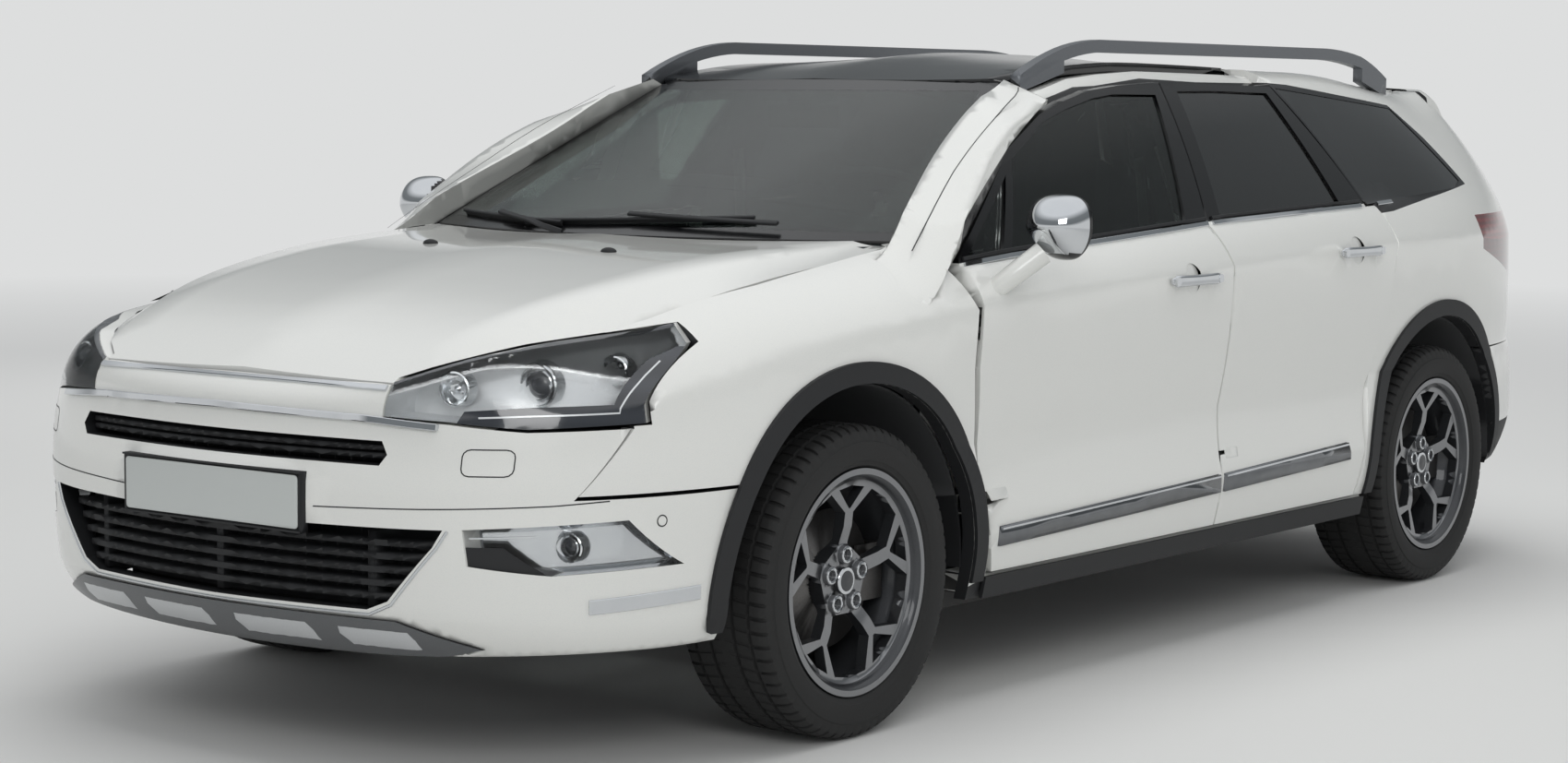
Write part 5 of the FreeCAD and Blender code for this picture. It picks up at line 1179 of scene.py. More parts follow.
@dataclass
class NoseLamp:
    """A lamp let into the nose: a clear lens with a black gasket over a bright tray with its light units.

    Attributes:
        name: Name of the lamp.
        outline: Its outline on the left side, as (x, z).
        bands: Areas of the lens that are smoked or closed, on the left side.
        units: The light units.
        gasket: Width of the gasket.
        depth: Depth of the tray.
        finishes: Finishes of lens, gasket and bands, and of the tray.
    """

    name: str
    outline: Sequence[tuple[float, float]]
    bands: Sequence[Sequence[tuple[float, float]]]
    units: Sequence[Unit]
    gasket: float
    depth: float
    finishes: tuple[Finish, Finish, Finish]
    tray: Finish

    def build(self) -> None:
        """Builds the lamp on both sides."""
        for side, sign in SIDES:
            self.build_lens(side, sign)
            self.build_units(side, sign)

    def laid(self, sign: int) -> bmesh.types.BMesh:
        """Lays a fine sheet of the lamp's outline on the lamp's skin."""
        points = [(sign * x, z) for x, z in self.outline]
        mesh = filled(points, self.gasket, 0.008)
        for band in self.bands:
            score(mesh, [(sign * x, z) for x, z in band], 1)
        skin = Skin("front_lamps")
        middle = sum((v.co for v in mesh.verts), Vector()) / len(mesh.verts)
        missed = []
        for vert in mesh.verts:
            found = None
            for pull in (0.001, 0.004, 0.012, 0.03):
                start = vert.co.lerp(middle, pull)
                found = skin.hit(Vector((start.x, -3.0, start.z)), Y)
                if found:
                    break
            if found:
                vert.co.y = found[0].y
            else:
                missed.append(vert)
        for vert in missed:
            near = [e.other_vert(vert).co.y for e in vert.link_edges if e.other_vert(vert) not in missed]
            vert.co.y = sum(near) / len(near) if near else middle.y
        if missed:
            log.info("%s: %d points of its edge lie beside the skin", self.name, len(missed))
        for face in mesh.faces:
            place = face.calc_center_median()
            if any(inside(band, abs(place.x), place.z) for band in self.bands) and face.material_index != 1:
                face.material_index = 2
        return mesh

    def build_lens(self, side: str, sign: int) -> None:
        """Builds the lens, the painted seat around its edge and the tray."""
        inward = Vector((-0.42 * sign, 0.90, 0)).normalized()
        lens = self.laid(sign)
        tray = lens.copy()
        skirt = lens.copy()
        grown = bmesh.ops.extrude_face_region(lens, geom=lens.faces[:])["geom"]
        back = [g for g in grown if isinstance(g, bmesh.types.BMVert)]
        bmesh.ops.translate(lens, verts=back, vec=inward * 0.0025)
        made = show(f"{self.name}_{side}_lens", tidy(lens), self.finishes, "car_body", "lamp", 50)
        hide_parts("front_lamps")
        edges = [e for e in skirt.edges if e.is_boundary]
        wall = bmesh.ops.extrude_edge_only(skirt, edges=edges)["geom"]
        ends = [g for g in wall if isinstance(g, bmesh.types.BMVert)]
        bmesh.ops.translate(skirt, verts=ends, vec=inward * 0.034)
        kept = {g for g in wall if isinstance(g, bmesh.types.BMFace)}
        bmesh.ops.delete(skirt, geom=[f for f in skirt.faces if f not in kept], context="FACES")
        bmesh.ops.translate(skirt, verts=skirt.verts, vec=inward * 0.0005)
        for face in skirt.faces:
            face.material_index = 0
        show(f"{self.name}_{side}_seat", tidy(skirt), (PEARL,), "car_body", "paint", 40)
        bmesh.ops.delete(tray, geom=[f for f in tray.faces if f.material_index == 1], context="FACES")
        home = {vert: vert.co.copy() for vert in tray.verts}
        centre = sum(home.values(), Vector()) / len(home)
        for vert, place in home.items():
            vert.co = centre.lerp(place, 0.86) + inward * self.depth - Z * 0.006
        edges = [e for e in tray.edges if e.is_boundary]
        wall = bmesh.ops.extrude_edge_only(tray, edges=edges)["geom"]
        for vert in (g for g in wall if isinstance(g, bmesh.types.BMVert)):
            base = next(e.other_vert(vert) for e in vert.link_edges if e.other_vert(vert) in home)
            vert.co = home[base] + inward * 0.005
        for face in tray.faces:
            face.material_index = 0
        show(f"{self.name}_{side}_tray", tidy(tray), (self.tray,), "car_body", "lamp", 40)

    def build_units(self, side: str, sign: int) -> None:
        """Turns each unit's bowl, rim and ball, sunk behind the lens along the line of sight."""
        axis = Vector((0.18 * sign, -0.98, 0.0)).normalized()
        sunk = Vector((SIGHT.x * sign, SIGHT.y, SIGHT.z))
        mesh = bmesh.new()
        for unit in self.units:
            place = Vector((sign * unit.place[0], unit.place[1], unit.place[2])) + sunk * unit.depth
            r = unit.radius
            spun(mesh,
                 ((-0.030, 0.0006), (-0.029, r * 0.4), (-0.022, r * 0.75), (-0.008, r * 0.95), (0.001, r),
                        (0.003, r * 1.05), (0.001, r * 1.14), (-0.03, r * 1.16)), place, axis, 40, 1)
            if unit.ball:
                spun(mesh, ((-0.012, unit.ball * 1.20), (-0.002, unit.ball * 1.22), (0.000, unit.ball * 1.10),
                            (-0.006, unit.ball)), place, axis, 36, 0)
                dome = [(unit.ball * 0.6 * math.cos(math.radians(t)) - 0.008,
                         max(0.0006, unit.ball * math.sin(math.radians(t))))
                        for t in range(90, -1, -15)]
                spun(mesh, dome, place, axis, 36, 2)
            else:
                spun(mesh, ((-0.028, 0.010), (-0.012, 0.008), (-0.006, 0.0006)), place, axis, 20, 0)
        show(f"{self.name}_{side}_units", tidy(mesh), (CHROME, REFLECTOR, SMOKED_LENS), "car_body", "chrome")


@dataclass
class FrontLamps:
    """Head and fog lamps with their light lines."""

    def build(self) -> None:
        """Builds the lamps of both sides."""
        NoseLamp("headlamp", HEAD_OUTLINE, (SMOKED_BAND, TOP_BAND), HEAD_UNITS, 0.005, 0.060,
                 (LENS, PIANO_BLACK, SMOKED_LENS), BEZEL).build()
        NoseLamp("fog_lamp", FOG_OUTLINE, (FOG_VENT,), FOG_UNITS, 0.004, 0.040, (LENS, MOULDED, MOULDED),
                 CHROME).build()
        for side, sign in SIDES:
            line = [(sign * x, -3.0, z) for x,
                    z in ((0.625, 0.742), (0.700, 0.7455), (0.806, 0.748), (0.800, 0.800),
                                                     (0.793, 0.842))]
            Strip(f"light_line_{side}", ("front_lamps",), line, Y, 0.0035, 0.0006, BEZEL, "lamp",
                  0.01).build()
            slot = [(sign * x, -3.0, z) for x, z in ((0.622, 0.507), (0.722, 0.511))]
            Strip(f"fog_divider_{side}", ("front_lamps",), slot, Y, 0.0035, 0.0008, CHROME, "chrome",
                  0.01).build()


@dataclass
class TailLamps:
    """Tail lamps that wrap the corner, the lower half darker."""

    def build(self) -> None:
        """Sorts the lamps' faces."""
        band = ((1.60, 0.985), (2.40, 0.940), (2.40, 0.800), (1.60, 0.800))

        def rule(place: Vector, normal: Vector) -> int:
            if normal.x * place.x < -0.2 * abs(place.x):
                return 2
            return 1 if inside(band, place.y, place.z) else 0

        Panel("tail_lamps", (RED_LENS, DARK_RED_LENS, MOULDED), rule, ((band, 0),)).build()


# Wheels
@dataclass
class Wheel:
    """A tyre with tread and a five-armed alloy rim.

    Attributes:
        end: front or rear.
        side: left or right.
        sign: 1 on the left, -1 on the right.
    """

    end: str
    side: str
    sign: int
    pitches: int = 68
    half_width: float = 0.1225
    tread_radius: float = 0.339

    def __post_init__(self) -> None:
        """Finds the wheel's middle and body."""
        front = self.end == "front"
        self.middle = Vector((self.sign * (FRONT_WHEEL_X if front else REAR_WHEEL_X),
                              FRONT_AXLE_Y if front else REAR_AXLE_Y, AXLE_Z))
        self.body = f"wheel_{self.end}_{self.side}"

    def build(self) -> None:
        """Builds tyre, rim, bolts and cap."""
        self.build_tyre()
        self.build_rim()
        self.build_hub()

    def section(self, groove: bool) -> list[tuple[float, float]]:
        """Gives the tyre's section as (across, radius), at a tread block or at a cross groove."""
        top = self.tread_radius
        wall = [(0.1045, 0.2462), (0.1130, 0.2520), (0.1165, 0.2600), (0.1190, 0.2625), (0.1215, 0.2760),
                (0.1222, 0.2900),
                (0.1210, 0.3030), (0.1188, 0.3050), (0.1170, 0.3170)]
        cut = 0.006 if groove else 0.0
        shoulder = [(0.1135, 0.3270 - cut * 0.5), (0.1060, 0.3335 - cut), (0.0950, top - 0.0020 - cut),
                    (0.0800, top - 0.0006 - cut), (0.0785, top - 0.0070), (0.0715, top - 0.0070)]
        small = 0.003 if groove else 0.0
        crown = [(0.0700, top - 0.0002 - small), (0.0380, top - small), (0.0365, top - 0.0070),
                 (0.0285, top - 0.0070),
                 (0.0270, top - small), (0.0060, top), (0.0, top)]
        half = wall + shoulder + crown
        return half + [(-x, r) for x, r in reversed(half[:-1])]

    def build_tyre(self) -> None:
        """Bridges the sections round the axle, four for each pitch of the tread."""
        mesh = bmesh.new()
        rings = []
        pitch = math.tau / self.pitches
        for k in range(self.pitches):
            for part, groove in ((0.0, False), (0.70, False), (0.75, True), (0.95, True)):
                ring = []
                for x, r in self.section(groove):
                    lean = 0.5 * abs(x) / self.half_width
                    turn = (k + part + lean) * pitch
                    ring.append(self.middle + Vector((x, r * math.cos(turn), r * math.sin(turn))))
                rings.append(ring)
        sweep(mesh, rings, closed=True)
        made = show(f"tyre_{self.end}_{self.side}_tread", tidy(mesh), (RUBBER,), self.body, "tyre", 24)
        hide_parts(f"tyre_{self.end}_{self.side}")

    def build_rim(self) -> None:
        """Sorts the rim's faces into machined faces, painted pockets and the brake disc."""

        def rule(place: Vector, normal: Vector) -> int:
            away = place - self.middle
            radius = math.hypot(away.y, away.z)
            depth, out = away.x * self.sign, normal.x * self.sign
            if depth < 0.030 and radius < 0.160:
                return 2
            if out > 0.9 and depth > 0.060 and radius > 0.028:
                return 0
            if out > 0.5 and radius > 0.238:
                return 0
            return 1

        Panel(f"rim_{self.end}_{self.side}", (MACHINED, POCKET, CAST), rule, sharp=28).build()

    def build_hub(self) -> None:
        """Adds the five bolts in their collars, the bright collar rims and the cap."""
        mesh = bmesh.new()
        axis = X * self.sign
        for k in range(5):
            turn = math.radians(90 + 72 * k)
            place = self.middle + Vector((self.sign * 0.062, 0.057 * math.cos(turn), 0.057 * math.sin(turn)))
            spun(mesh, ((0.0, 0.0115), (0.006, 0.0108), (0.012, 0.0085), (0.013, 0.0003)), place, axis, 6, 0)
            rim = place + axis * 0.0195
            spun(mesh,
                 ((-0.004, 0.0118), (0.0012, 0.0125), (0.0022, 0.0150), (0.0012, 0.0180), (-0.002, 0.0195)),
                 rim,
                 axis, 28, 1)
        spun(mesh, ((0.079, 0.0300), (0.0805, 0.0290), (0.0815, 0.0255), (0.0815, 0.0225)), self.middle,
             axis, 36, 1)
        spun(mesh, ((0.0815, 0.0225), (0.0810, 0.0190), (0.0822, 0.0100), (0.0825, 0.0003)), self.middle,
             axis, 36, 0)
        show(f"rim_{self.end}_{self.side}_hub", tidy(mesh), (POCKET, CHROME), self.body, "chrome")


# Mirrors, wipers and small outside pieces
MIRROR_MIDDLE = Vector((HALF_WIDTH + 0.062, FRONT_AXLE_Y + 0.640, BELT_Z + 0.088))


@dataclass
class Outside:
    """Mirrors, wipers, washer jets, seams, plates and chrome lines."""

    def build(self) -> None:
        """Builds all small outside pieces."""
        for side, sign in SIDES:
            self.build_mirror(side, sign)
            self.build_washer_jet(side, sign)
            self.build_bumper_lines(side, sign)
            self.build_reflector(side, sign)
        self.build_wipers()
        self.build_surround()
        self.build_plates()
        self.build_rear_trim()

    def build_mirror(self, side: str, sign: int) -> None:
        """Builds a mirror: a chrome cap, narrow at its foot, with a black ring, on a leaning white stalk.

        Args:
            side: left or right.
            sign: 1 on the left, -1 on the right.
        """
        body = f"door_front_{side}"
        back_y = MIRROR_MIDDLE.y + 0.012
        middle = Vector((MIRROR_MIDDLE.x, back_y, MIRROR_MIDDLE.z))
        cap = bmesh.new()
        bmesh.ops.create_uvsphere(cap, u_segments=48, v_segments=32, radius=1)
        bmesh.ops.bisect_plane(cap, geom=cap.verts[:] + cap.edges[:] + cap.faces[:], dist=1e-6,
                               plane_co=(0, 0, 0),
                               plane_no=Y, clear_outer=True)
        for vert in cap.verts:
            u, v, w = vert.co
            square = 1 + 0.10 * (2 * u * w) ** 2
            taper = 1 - 0.36 * max(0.0, -w) ** 1.3
            vert.co = Vector((u * square * taper * 0.081 + 0.012 * max(0.0, -w),
                              v * 0.086 * (1 - 0.25 * max(0.0, -w)),
                              w * square * 0.0745))
        rim = [e for e in cap.edges if e.is_boundary]
        glass = bmesh.ops.contextual_create(cap, geom=rim)["faces"]
        cap.normal_update()
        inner = bmesh.ops.inset_region(cap, faces=glass, thickness=0.009, use_even_offset=True)["faces"]
        bmesh.ops.translate(cap, verts=glass[0].verts, vec=(0, -0.004, 0))
        for face in cap.faces:
            place = face.calc_center_median()
            ringed = face in inner or place.x < -0.050 or place.z < -0.058 or place.y > -0.007
            face.material_index = int(ringed)
        glass[0].material_index = 2
        bmesh.ops.triangulate(cap, faces=glass)
        cap.transform(Matrix.Translation(middle))
        if sign < 0:
            cap.transform(Matrix.Diagonal((-1, 1, 1, 1)))
        made = show(f"mirror_{side}_cap", tidy(cap), (CHROME, PIANO_BLACK, CHROME), body, "chrome", 40)
        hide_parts(f"mirror_{side}")
        stalk = bmesh.new()
        foot, head = Vector((sign * 0.894, -0.866, 0.944)), Vector((sign * 0.972, -0.790, 1.026))
        axis = (head - foot).normalized()
        length = (head - foot).length
        spun(stalk,
             ((-0.024, 0.0006), (-0.022, 0.010), (-0.014, 0.0195), (0.0, 0.0250), (length * 0.6, 0.0262),
                     (length, 0.027), (length, 0.0006)), foot, axis, 32)
        show(f"mirror_{side}_stalk", tidy(stalk), (PEARL,), body, "paint")

    def build_washer_jet(self, side: str, sign: int) -> None:
        """Sets a washer jet on the bonnet."""
        found = Skin("bonnet").hit(Vector((sign * 0.274, -1.483, 1.4)), -Z)
        mesh = bmesh.new()
        place = Matrix.Translation(found[0]) @ Matrix.Diagonal((0.021, 0.014, 0.010, 1))
        bmesh.ops.create_uvsphere(mesh, u_segments=20, v_segments=12, radius=1, matrix=place)
        show(f"washer_jet_{side}", tidy(mesh), (MOULDED,), "bonnet", "trim")

    def build_bumper_lines(self, side: str, sign: int) -> None:
        """Draws the bumper's seam, the lamp washer's cover, the sensor and the chrome corner strip."""
        mesh = bmesh.new()
        seam = [(0.285, -2.6, 0.5515), (0.524, -2.6, 0.561), (0.749, -2.6, 0.571), (0.812, -2.6, 0.577)]
        cover = [(0.650 + a, -2.6, 0.655 + b) for a, b in oval(0.085, 0.052, 0.014, 4)]
        for line in (seam, cover + cover[:1]):
            path = [(sign * x, y, z) for x, y, z in line]
            Strip("line", ("front_bumper",), path, Y, 0.0026, 0.0004, MOULDED, "trim", 0.012).build(mesh)
        if mesh.faces:
            show(f"bumper_seams_{side}", tidy(mesh), (MOULDED,), "car_body", "trim")
        corner = [(sign * x, y, z) for x, y,
                  z in ((1.2, -2.130, 0.366), (1.2, -2.02, 0.372), (1.2, -1.892, 0.378))]
        Strip(f"corner_strip_{side}", ("front_bumper",), corner, X * -sign, 0.030, 0.004, CHROME,
              "chrome").build()
        found = Skin("front_bumper").hit(Vector((sign * 1.3, -1.992, 0.531)), X * -sign)
        if found:
            mesh = bmesh.new()
            spun(mesh, ((0.0, 0.0125), (0.0008, 0.0120), (0.0008, 0.0105), (0.0, 0.0100)), found[0],
                 found[1], 28, 1)
            spun(mesh, ((0.0, 0.0098), (0.0010, 0.0090), (0.0014, 0.0003)), found[0], found[1], 28, 0)
            show(f"parking_sensor_{side}", tidy(mesh), (PEARL, MOULDED), "car_body", "paint")

    def build_reflector(self, side: str, sign: int) -> None:
        """Lays a red reflector in the rear bumper."""
        path = [(sign * x, 2.6, 0.46) for x in (0.50, 0.64, 0.72)]
        Strip(f"reflector_{side}", ("rear_bumper",), path, -Y, 0.032, 0.003, RED_LENS, "red_lamp").build()

    def build_wipers(self) -> None:
        """Lays two wipers on the foot of the windscreen and one on the rear window."""
        skin = Skin("fixed_glass")
        for name, blade, arm in (("long", ((-0.30, 1.062), (0.36, 1.086)), ((0.44, 1.068), (0.03, 1.080))),
                                 ("short", ((-0.62, 1.075), (-0.16, 1.062)),
                                  ((-0.08, 1.040), (-0.42, 1.072)))):
            mesh = bmesh.new()
            for (x0, z0), (x1, z1), width, lift in ((*blade, 0.009, 0.010), (*arm, 0.014, 0.018)):
                places, normals = skin.lay(spread([(x0, -2.0, z0), (x1, -2.0, z1)], 0.04), Y)
                path = [p + n * lift for p, n in zip(places, normals)]
                sweep(mesh, along(path, oval(width, 0.008, 0.002, 2), normals))
                if width < 0.01:
                    path = [p + n * 0.005 for p, n in zip(places, normals)]
                    sweep(mesh, along(path, oval(0.0022, 0.011), normals))
            show(f"wiper_{name}", tidy(mesh), (MOULDED,), "car_body", "trim")
        mesh = bmesh.new()
        places, normals = Skin("tailgate_glass").lay(spread([(-0.02, 3.0, 1.150), (0.34, 3.0, 1.170)],
                                                            0.04), -Y)
        path = [p + n * 0.014 for p, n in zip(places, normals)]
        sweep(mesh, along(path, oval(0.016, 0.010, 0.003, 3), normals))
        spun(mesh, ((0.0, 0.022), (0.016, 0.020), (0.022, 0.012), (0.024, 0.0004)), places[0], normals[0], 28)
        show("wiper_rear", tidy(mesh), (MOULDED,), "tailgate", "trim")

    def build_surround(self) -> None:
        """Draws the thin chrome line round the lower grille."""
        half = ((0.586, 0.520), (0.565, 0.486), (0.463, 0.366), (0.410, 0.343), (0.0, 0.340))
        path = [(x, -2.6, z) for x, z in half] + [(-x, -2.6, z) for x, z in reversed(half[:-1])]
        Strip("lower_grille_line", ("front_bumper", "cladding"), path, Y, 0.006, 0.003, CHROME, "chrome",
              0.02).build()

    def build_plates(self) -> None:
        """Sets blank plates in their holders."""
        for name, y, z, body, way in (("front", 0.0028 - HALF_LENGTH, 0.558, "car_body", -1),
                                      ("rear", 2.3400, 0.766, "tailgate", 1)):
            mesh = bmesh.new()
            rings = [[Vector((a * k, y + way * dy, z + b * k)) for a, b in oval(0.516, 0.108, 0.008, 4)]
                     for dy, k in ((-0.001, 1.0), (0.0009, 1.0), (0.0013, 0.997))]
            sweep(mesh, rings)
            show(f"plate_{name}", tidy(mesh), (SHEET,), body, "silver")

    def build_rear_trim(self) -> None:
        """Lays the bright bar over the rear plate and the high brake lamp."""
        bar = [(x, 3.0, 0.858) for x in (-0.36, 0.0, 0.36)]
        Strip("tailgate_bar", ("tailgate",), bar, -Y, 0.026, 0.008, CHROME, "chrome").build()
        lamp = [(x, 3.0, 1.372) for x in (-0.15, 0.0, 0.15)]
        Strip("high_brake_lamp", ("tailgate",), lamp, -Y, 0.016, 0.005, RED_LENS, "red_lamp").build()


# Cabin
@dataclass
class Pad:
    """A stuffed cushion: a crowned closed form, its sides drawn in between its corners.

    Attributes:
        name: Name of the piece.
        middle: Its middle.
        size: Width, length and thickness.
        lean: Turn about the car's cross axis, degrees.
        crown: How far the broad faces bulge.
        bolster: How far the edges of the front face stand up as side bolsters.
    """

    name: str
    middle: tuple[float, float, float]
    size: tuple[float, float, float]
    lean: float = 0.0
    crown: float = 0.014
    bolster: float = 0.0

    def build(self) -> None:
        """Builds the pad with its welts."""
        mesh = bmesh.new()
        bmesh.ops.create_cube(mesh, size=2)
        bmesh.ops.subdivide_edges(mesh, edges=mesh.edges, cuts=11, use_grid_fill=True)
        half = Vector(self.size) / 2
        turn = Matrix.Rotation(math.radians(self.lean), 4, "X")
        for vert in mesh.verts:
            u, v, w = vert.co
            ease = (1 - abs(w) ** 4 * 0.10, 1 - abs(w) ** 4 * 0.10)
            x = u * half.x * ease[0] * (1 - 0.03 * (1 - v * v))
            y = v * half.y * ease[1] * (1 - 0.03 * (1 - u * u))
            z = w * (half.z + (self.crown * (1 - u ** 4) * (1 - v ** 4) if w else 0))
            corner = (abs(u) ** 10 + abs(v) ** 10) / 2
            z *= 1 - 0.35 * corner
            if w > 0:
                z += self.bolster * max(0.0, (abs(u) - 0.62) / 0.38) ** 1.5 * w
                seam = math.exp(-((abs(u) - 0.60) / 0.03) ** 2)
                z -= 0.004 * seam * w
            vert.co = Vector(self.middle) + turn @ Vector((x, y, z))
        bmesh.ops.smooth_vert(mesh, verts=mesh.verts, factor=0.35, use_axis_x=True, use_axis_y=True,
                              use_axis_z=True)
        made = show(self.name, tidy(mesh), (CLOTH,), "car_body", "cloth", 180)
        if self.name == "seat_left_cushion":
            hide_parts("seats")


@dataclass
class Cabin:
    """Seats, dashboard, steering wheel, belts and the inner mirror."""

    seat_y: float = FRONT_AXLE_Y + 1.190
    seat_x: float = 0.380

    def build(self) -> None:
        """Builds everything inside."""
        for side, sign in SIDES:
            self.build_seat(f"seat_{side}", sign * self.seat_x, 0.49, self.seat_y, 0.44, 0.62)
            self.build_belt(side, sign)
        for k, x in (("left", 0.42), ("middle", 0.0), ("right", -0.42)):
            self.build_seat(f"rear_seat_{k}", x, 0.415, self.seat_y + 0.880, 0.43, 0.56)
        self.build_dash()
        self.build_inner_mirror()

    def build_seat(self, name: str, x: float, width: float, y: float, base: float, tall: float) -> None:
        """Builds a seat's cushion, back and headrest inside the CAD seat's outline.

        Args:
            name: Name of the seat.
            x: Its middle across the car.
            width: Its width.
            y: Its place along the car.
            base: Height of its frame.
            tall: Height of its back over the frame.
        """
        bolster = 0.020 if name in ("seat_left", "seat_right") else 0.008
        Pad(name + "_cushion", (x, y - 0.005, base + 0.063), (width, 0.51, 0.105), 4, 0.010, bolster).build()
        Pad(name + "_back", (x, y + 0.335, base + 0.34), (width - 0.03, tall * 0.93, 0.105), 67 - 180, 0.010,
            bolster * 0.8).build()
        Pad(name + "_headrest", (x, y + 0.449, base + tall + 0.088), (0.245, 0.150, 0.078), 79 - 180,
            0.008).build()
        mesh = bmesh.new()
        for dx in (-0.055, 0.055):
            path = [Vector((x + dx, y + 0.430, base + tall - 0.03)),
                    Vector((x + dx, y + 0.446, base + tall + 0.05))]
            sweep(mesh, along(path, circle(0, 0, 0.006, 12), Y))
        show(name + "_posts", tidy(mesh), (CHROME,), "car_body", "chrome")

    def build_belt(self, side: str, sign: int) -> None:
        """Hangs a belt from the centre pillar to the seat's side."""
        mesh = bmesh.new()
        path = [Vector(p) for p in ((sign * 0.655, 0.150, 1.225), (sign * 0.660, 0.165, 1.10),
                                    (sign * 0.668, 0.185, 0.86),
                                    (sign * 0.672, 0.190, 0.60), (sign * 0.672, 0.185, 0.42))]
        sweep(mesh, along(path, oval(0.046, 0.0025), X * -sign))
        show(f"belt_{side}", tidy(mesh), (WEBBING,), "car_body", "cloth")

    def build_dash(self) -> None:
        """Shows the dashboard and adds the instrument hood, centre screen, vents and the wheel's hub."""
        Panel("dashboard", (SKIN,)).build()
        mesh = bmesh.new()
        y = FRONT_AXLE_Y
        block(mesh, (0.20, y + 0.60, 0.985), (0.56, y + 0.76, 1.020), 0.012)
        block(mesh, (-0.13, y + 0.66, 0.965), (0.13, y + 0.765, 1.012), 0.010)
        for x in (-0.60, -0.09, 0.09, 0.60):
            block(mesh, (x - 0.05, y + 0.765, 0.895), (x + 0.05, y + 0.797, 0.935), 0.004, index=1)
        hub = Vector((0.380, y + 0.900, 0.900))
        axis = Vector((0, 0.92, 0.39)).normalized()
        spun(mesh, ((-0.03, 0.045), (0.004, 0.072), (0.016, 0.060), (0.022, 0.0004)), hub, axis, 32, 0)
        show("dash_details", tidy(mesh), (SKIN, PIANO_BLACK), "car_body", "trim")

    def build_inner_mirror(self) -> None:
        """Hangs the inner mirror under the windscreen's top."""
        mesh = bmesh.new()
        block(mesh, (-0.115, -0.412, 1.292), (0.115, -0.392, 1.352), 0.009)
        block(mesh, (-0.03, -0.44, 1.335), (0.03, -0.40, 1.375), 0.008)
        show("inner_mirror", tidy(mesh), (MOULDED,), "car_body", "trim")


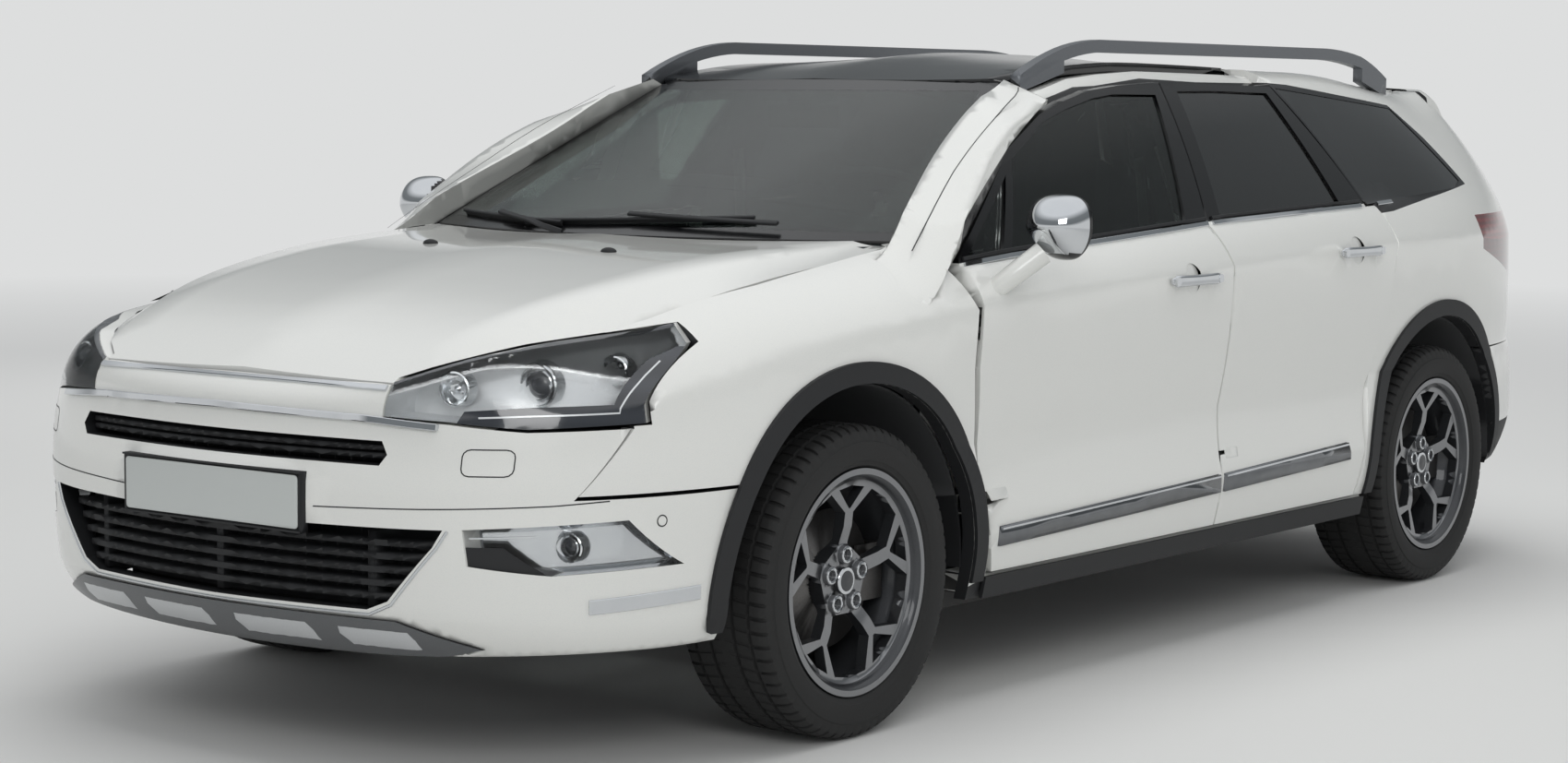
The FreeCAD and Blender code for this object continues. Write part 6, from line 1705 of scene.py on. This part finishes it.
@dataclass
class Studio:
    """Floor, light and the camera at the photograph's angle.

    Attributes:
        azimuth: Way round the car from straight ahead, degrees.
        elevation: Height of the view above the horizon, degrees.
        roll: Turn of the camera about its line of sight, degrees.
        target: The point that the view's middle falls on, metres.
        distance: From the camera to the target, metres.
        lens: Focal length for a 36 mm sensor, millimetres.
        floor_size: Half side of the floor, metres.
        backdrop: Colour of floor and backdrop far away.
        sky: Strength of the light from all around.
    """

    azimuth: float = 37.51
    elevation: float = 5.30
    roll: float = 0.43
    target: tuple[float, float, float] = (0.090, -0.6, 0.665)
    distance: float = 7.557
    lens: float = 69.39
    floor_size: float = 60.0
    backdrop: str = "DDDEDE"
    sky: float = 0.62

    def build(self) -> None:
        """Makes camera, floor, world and lamps."""
        self.build_camera()
        self.build_floor()
        self.build_world()
        self.build_lamps()

    def build_camera(self) -> None:
        """Places the camera."""
        a, e, r = (math.radians(v) for v in (self.azimuth, self.elevation, self.roll))
        back = Vector((math.sin(a) * math.cos(e), -math.cos(a) * math.cos(e), math.sin(e)))
        right = Vector((math.cos(a), math.sin(a), 0))
        up = back.cross(right)
        turned_right = right * math.cos(r) + up * math.sin(r)
        turned_up = up * math.cos(r) - right * math.sin(r)
        data = bpy.data.cameras.new("camera")
        data.lens = self.lens
        data.sensor_width = 36
        data.clip_end = 200
        camera = bpy.data.objects.new("camera", data)
        place = Matrix((turned_right, turned_up, back)).transposed().to_4x4()
        place.translation = Vector(self.target) + back * self.distance
        camera.matrix_world = place
        bpy.context.scene.collection.objects.link(camera)
        bpy.context.scene.camera = camera

    def build_floor(self) -> None:
        """Lays a pale floor that fades into the backdrop far from the car."""
        mesh = bmesh.new()
        bmesh.ops.create_grid(mesh, x_segments=1, y_segments=1, size=self.floor_size)
        data = bpy.data.meshes.new("floor")
        mesh.to_mesh(data)
        mesh.free()
        material = FLOOR.material()
        tree = material.node_tree
        shader = tree.nodes["Principled BSDF"]
        place = add(tree, "ShaderNodeTexCoord").outputs["Object"]
        far = add(tree, "ShaderNodeVectorMath", {0: place}, operation="LENGTH").outputs["Value"]
        share = add(tree, "ShaderNodeMapRange",
                    {"Value": far, "From Min": 4.5, "From Max": 16.0}).outputs["Result"]
        plain = add(tree, "ShaderNodeEmission", {"Color": linear(self.backdrop), "Strength": 1.0})
        mix = add(tree, "ShaderNodeMixShader", {0: share, 1: shader.outputs[0], 2: plain.outputs[0]})
        tree.links.new(mix.outputs[0], tree.nodes["Material Output"].inputs["Surface"])
        data.materials.append(material)
        floor = bpy.data.objects.new("floor", data)
        bpy.context.scene.collection.objects.link(floor)

    def build_world(self) -> None:
        """Gives plain light to surfaces, and one backdrop, pale at the horizon, to all that shows it."""
        world = bpy.data.worlds.new("studio")
        bpy.context.scene.world = world
        world.use_nodes = True
        tree = world.node_tree
        tree.nodes.clear()
        path = add(tree, "ShaderNodeLightPath")
        way = add(tree, "ShaderNodeNewGeometry").outputs["Incoming"]
        height = add(tree, "ShaderNodeSeparateXYZ", {0: way}).outputs["Z"]
        height = add(tree, "ShaderNodeMath", {0: height}, operation="ABSOLUTE").outputs[0]
        ramp = add(tree, "ShaderNodeValToRGB", {"Fac": height})
        stops = ramp.color_ramp.elements
        for place, colour in ((0.10, self.backdrop), (0.20, "7C8082"), (0.42, "85898B"), (0.70, "EEF0F2")):
            stop = stops.new(place)
            stop.color = linear(colour)
        stops.remove(stops[0])
        stops.remove(stops[-1])
        lit = add(tree, "ShaderNodeBackground", {"Color": linear("F2F4F6"), "Strength": self.sky})
        shown = add(tree, "ShaderNodeBackground", {"Color": ramp.outputs["Color"], "Strength": 1.0})
        seen = path.outputs["Is Camera Ray"]
        for ray in ("Is Glossy Ray", "Is Transmission Ray"):
            seen = add(tree, "ShaderNodeMath", {0: seen, 1: path.outputs[ray]},
                       operation="MAXIMUM").outputs[0]
        mix = add(tree, "ShaderNodeMixShader", {0: seen, 1: lit.outputs[0], 2: shown.outputs[0]})
        add(tree, "ShaderNodeOutputWorld", {"Surface": mix.outputs[0]})

    def build_lamps(self) -> None:
        """Hangs soft boxes over the car and beside it; gloss shows only the one at the front."""
        rows = (
            ("overhead", (0.5, 0.0, 6.0), (0, 0, 0.5), 7.0, 5.0, 150),
            ("front_side", (5.5, -6.5, 4.2), (0.3, -0.8, 0.6), 3.5, 2.5, 110),
            ("rear_side", (-5.5, 5.0, 3.6), (0, 0.5, 0.7), 4.0, 2.5, 80),
        )
        for name, place, aim, width, height, power in rows:
            data = bpy.data.lights.new(name, "AREA")
            data.shape = "RECTANGLE"
            data.size, data.size_y, data.energy = width, height, power
            lamp = bpy.data.objects.new(name, data)
            lamp.location = place
            lamp.visible_glossy = name == "front_side"
            lamp.rotation_mode = "QUATERNION"
            lamp.rotation_quaternion = (Vector(aim) - Vector(place)).to_track_quat("-Z", "Y")
            bpy.context.scene.collection.objects.link(lamp)


def main() -> None:
    """Builds every piece."""
    logging.basicConfig(level=logging.INFO, format="%(name)s: %(message)s")
    bpy.context.scene.view_settings.view_transform = "Standard"
    Shell().build()
    Glazing().build()
    FrontLamps().build()
    TailLamps().build()
    for side, sign in SIDES:
        for end in ("front", "rear"):
            Door(end, side, sign).build()
            Wheel(end, side, sign).build()
    Outside().build()
    Cabin().build()
    Studio().build()


if __name__ == "__main__":
    main()
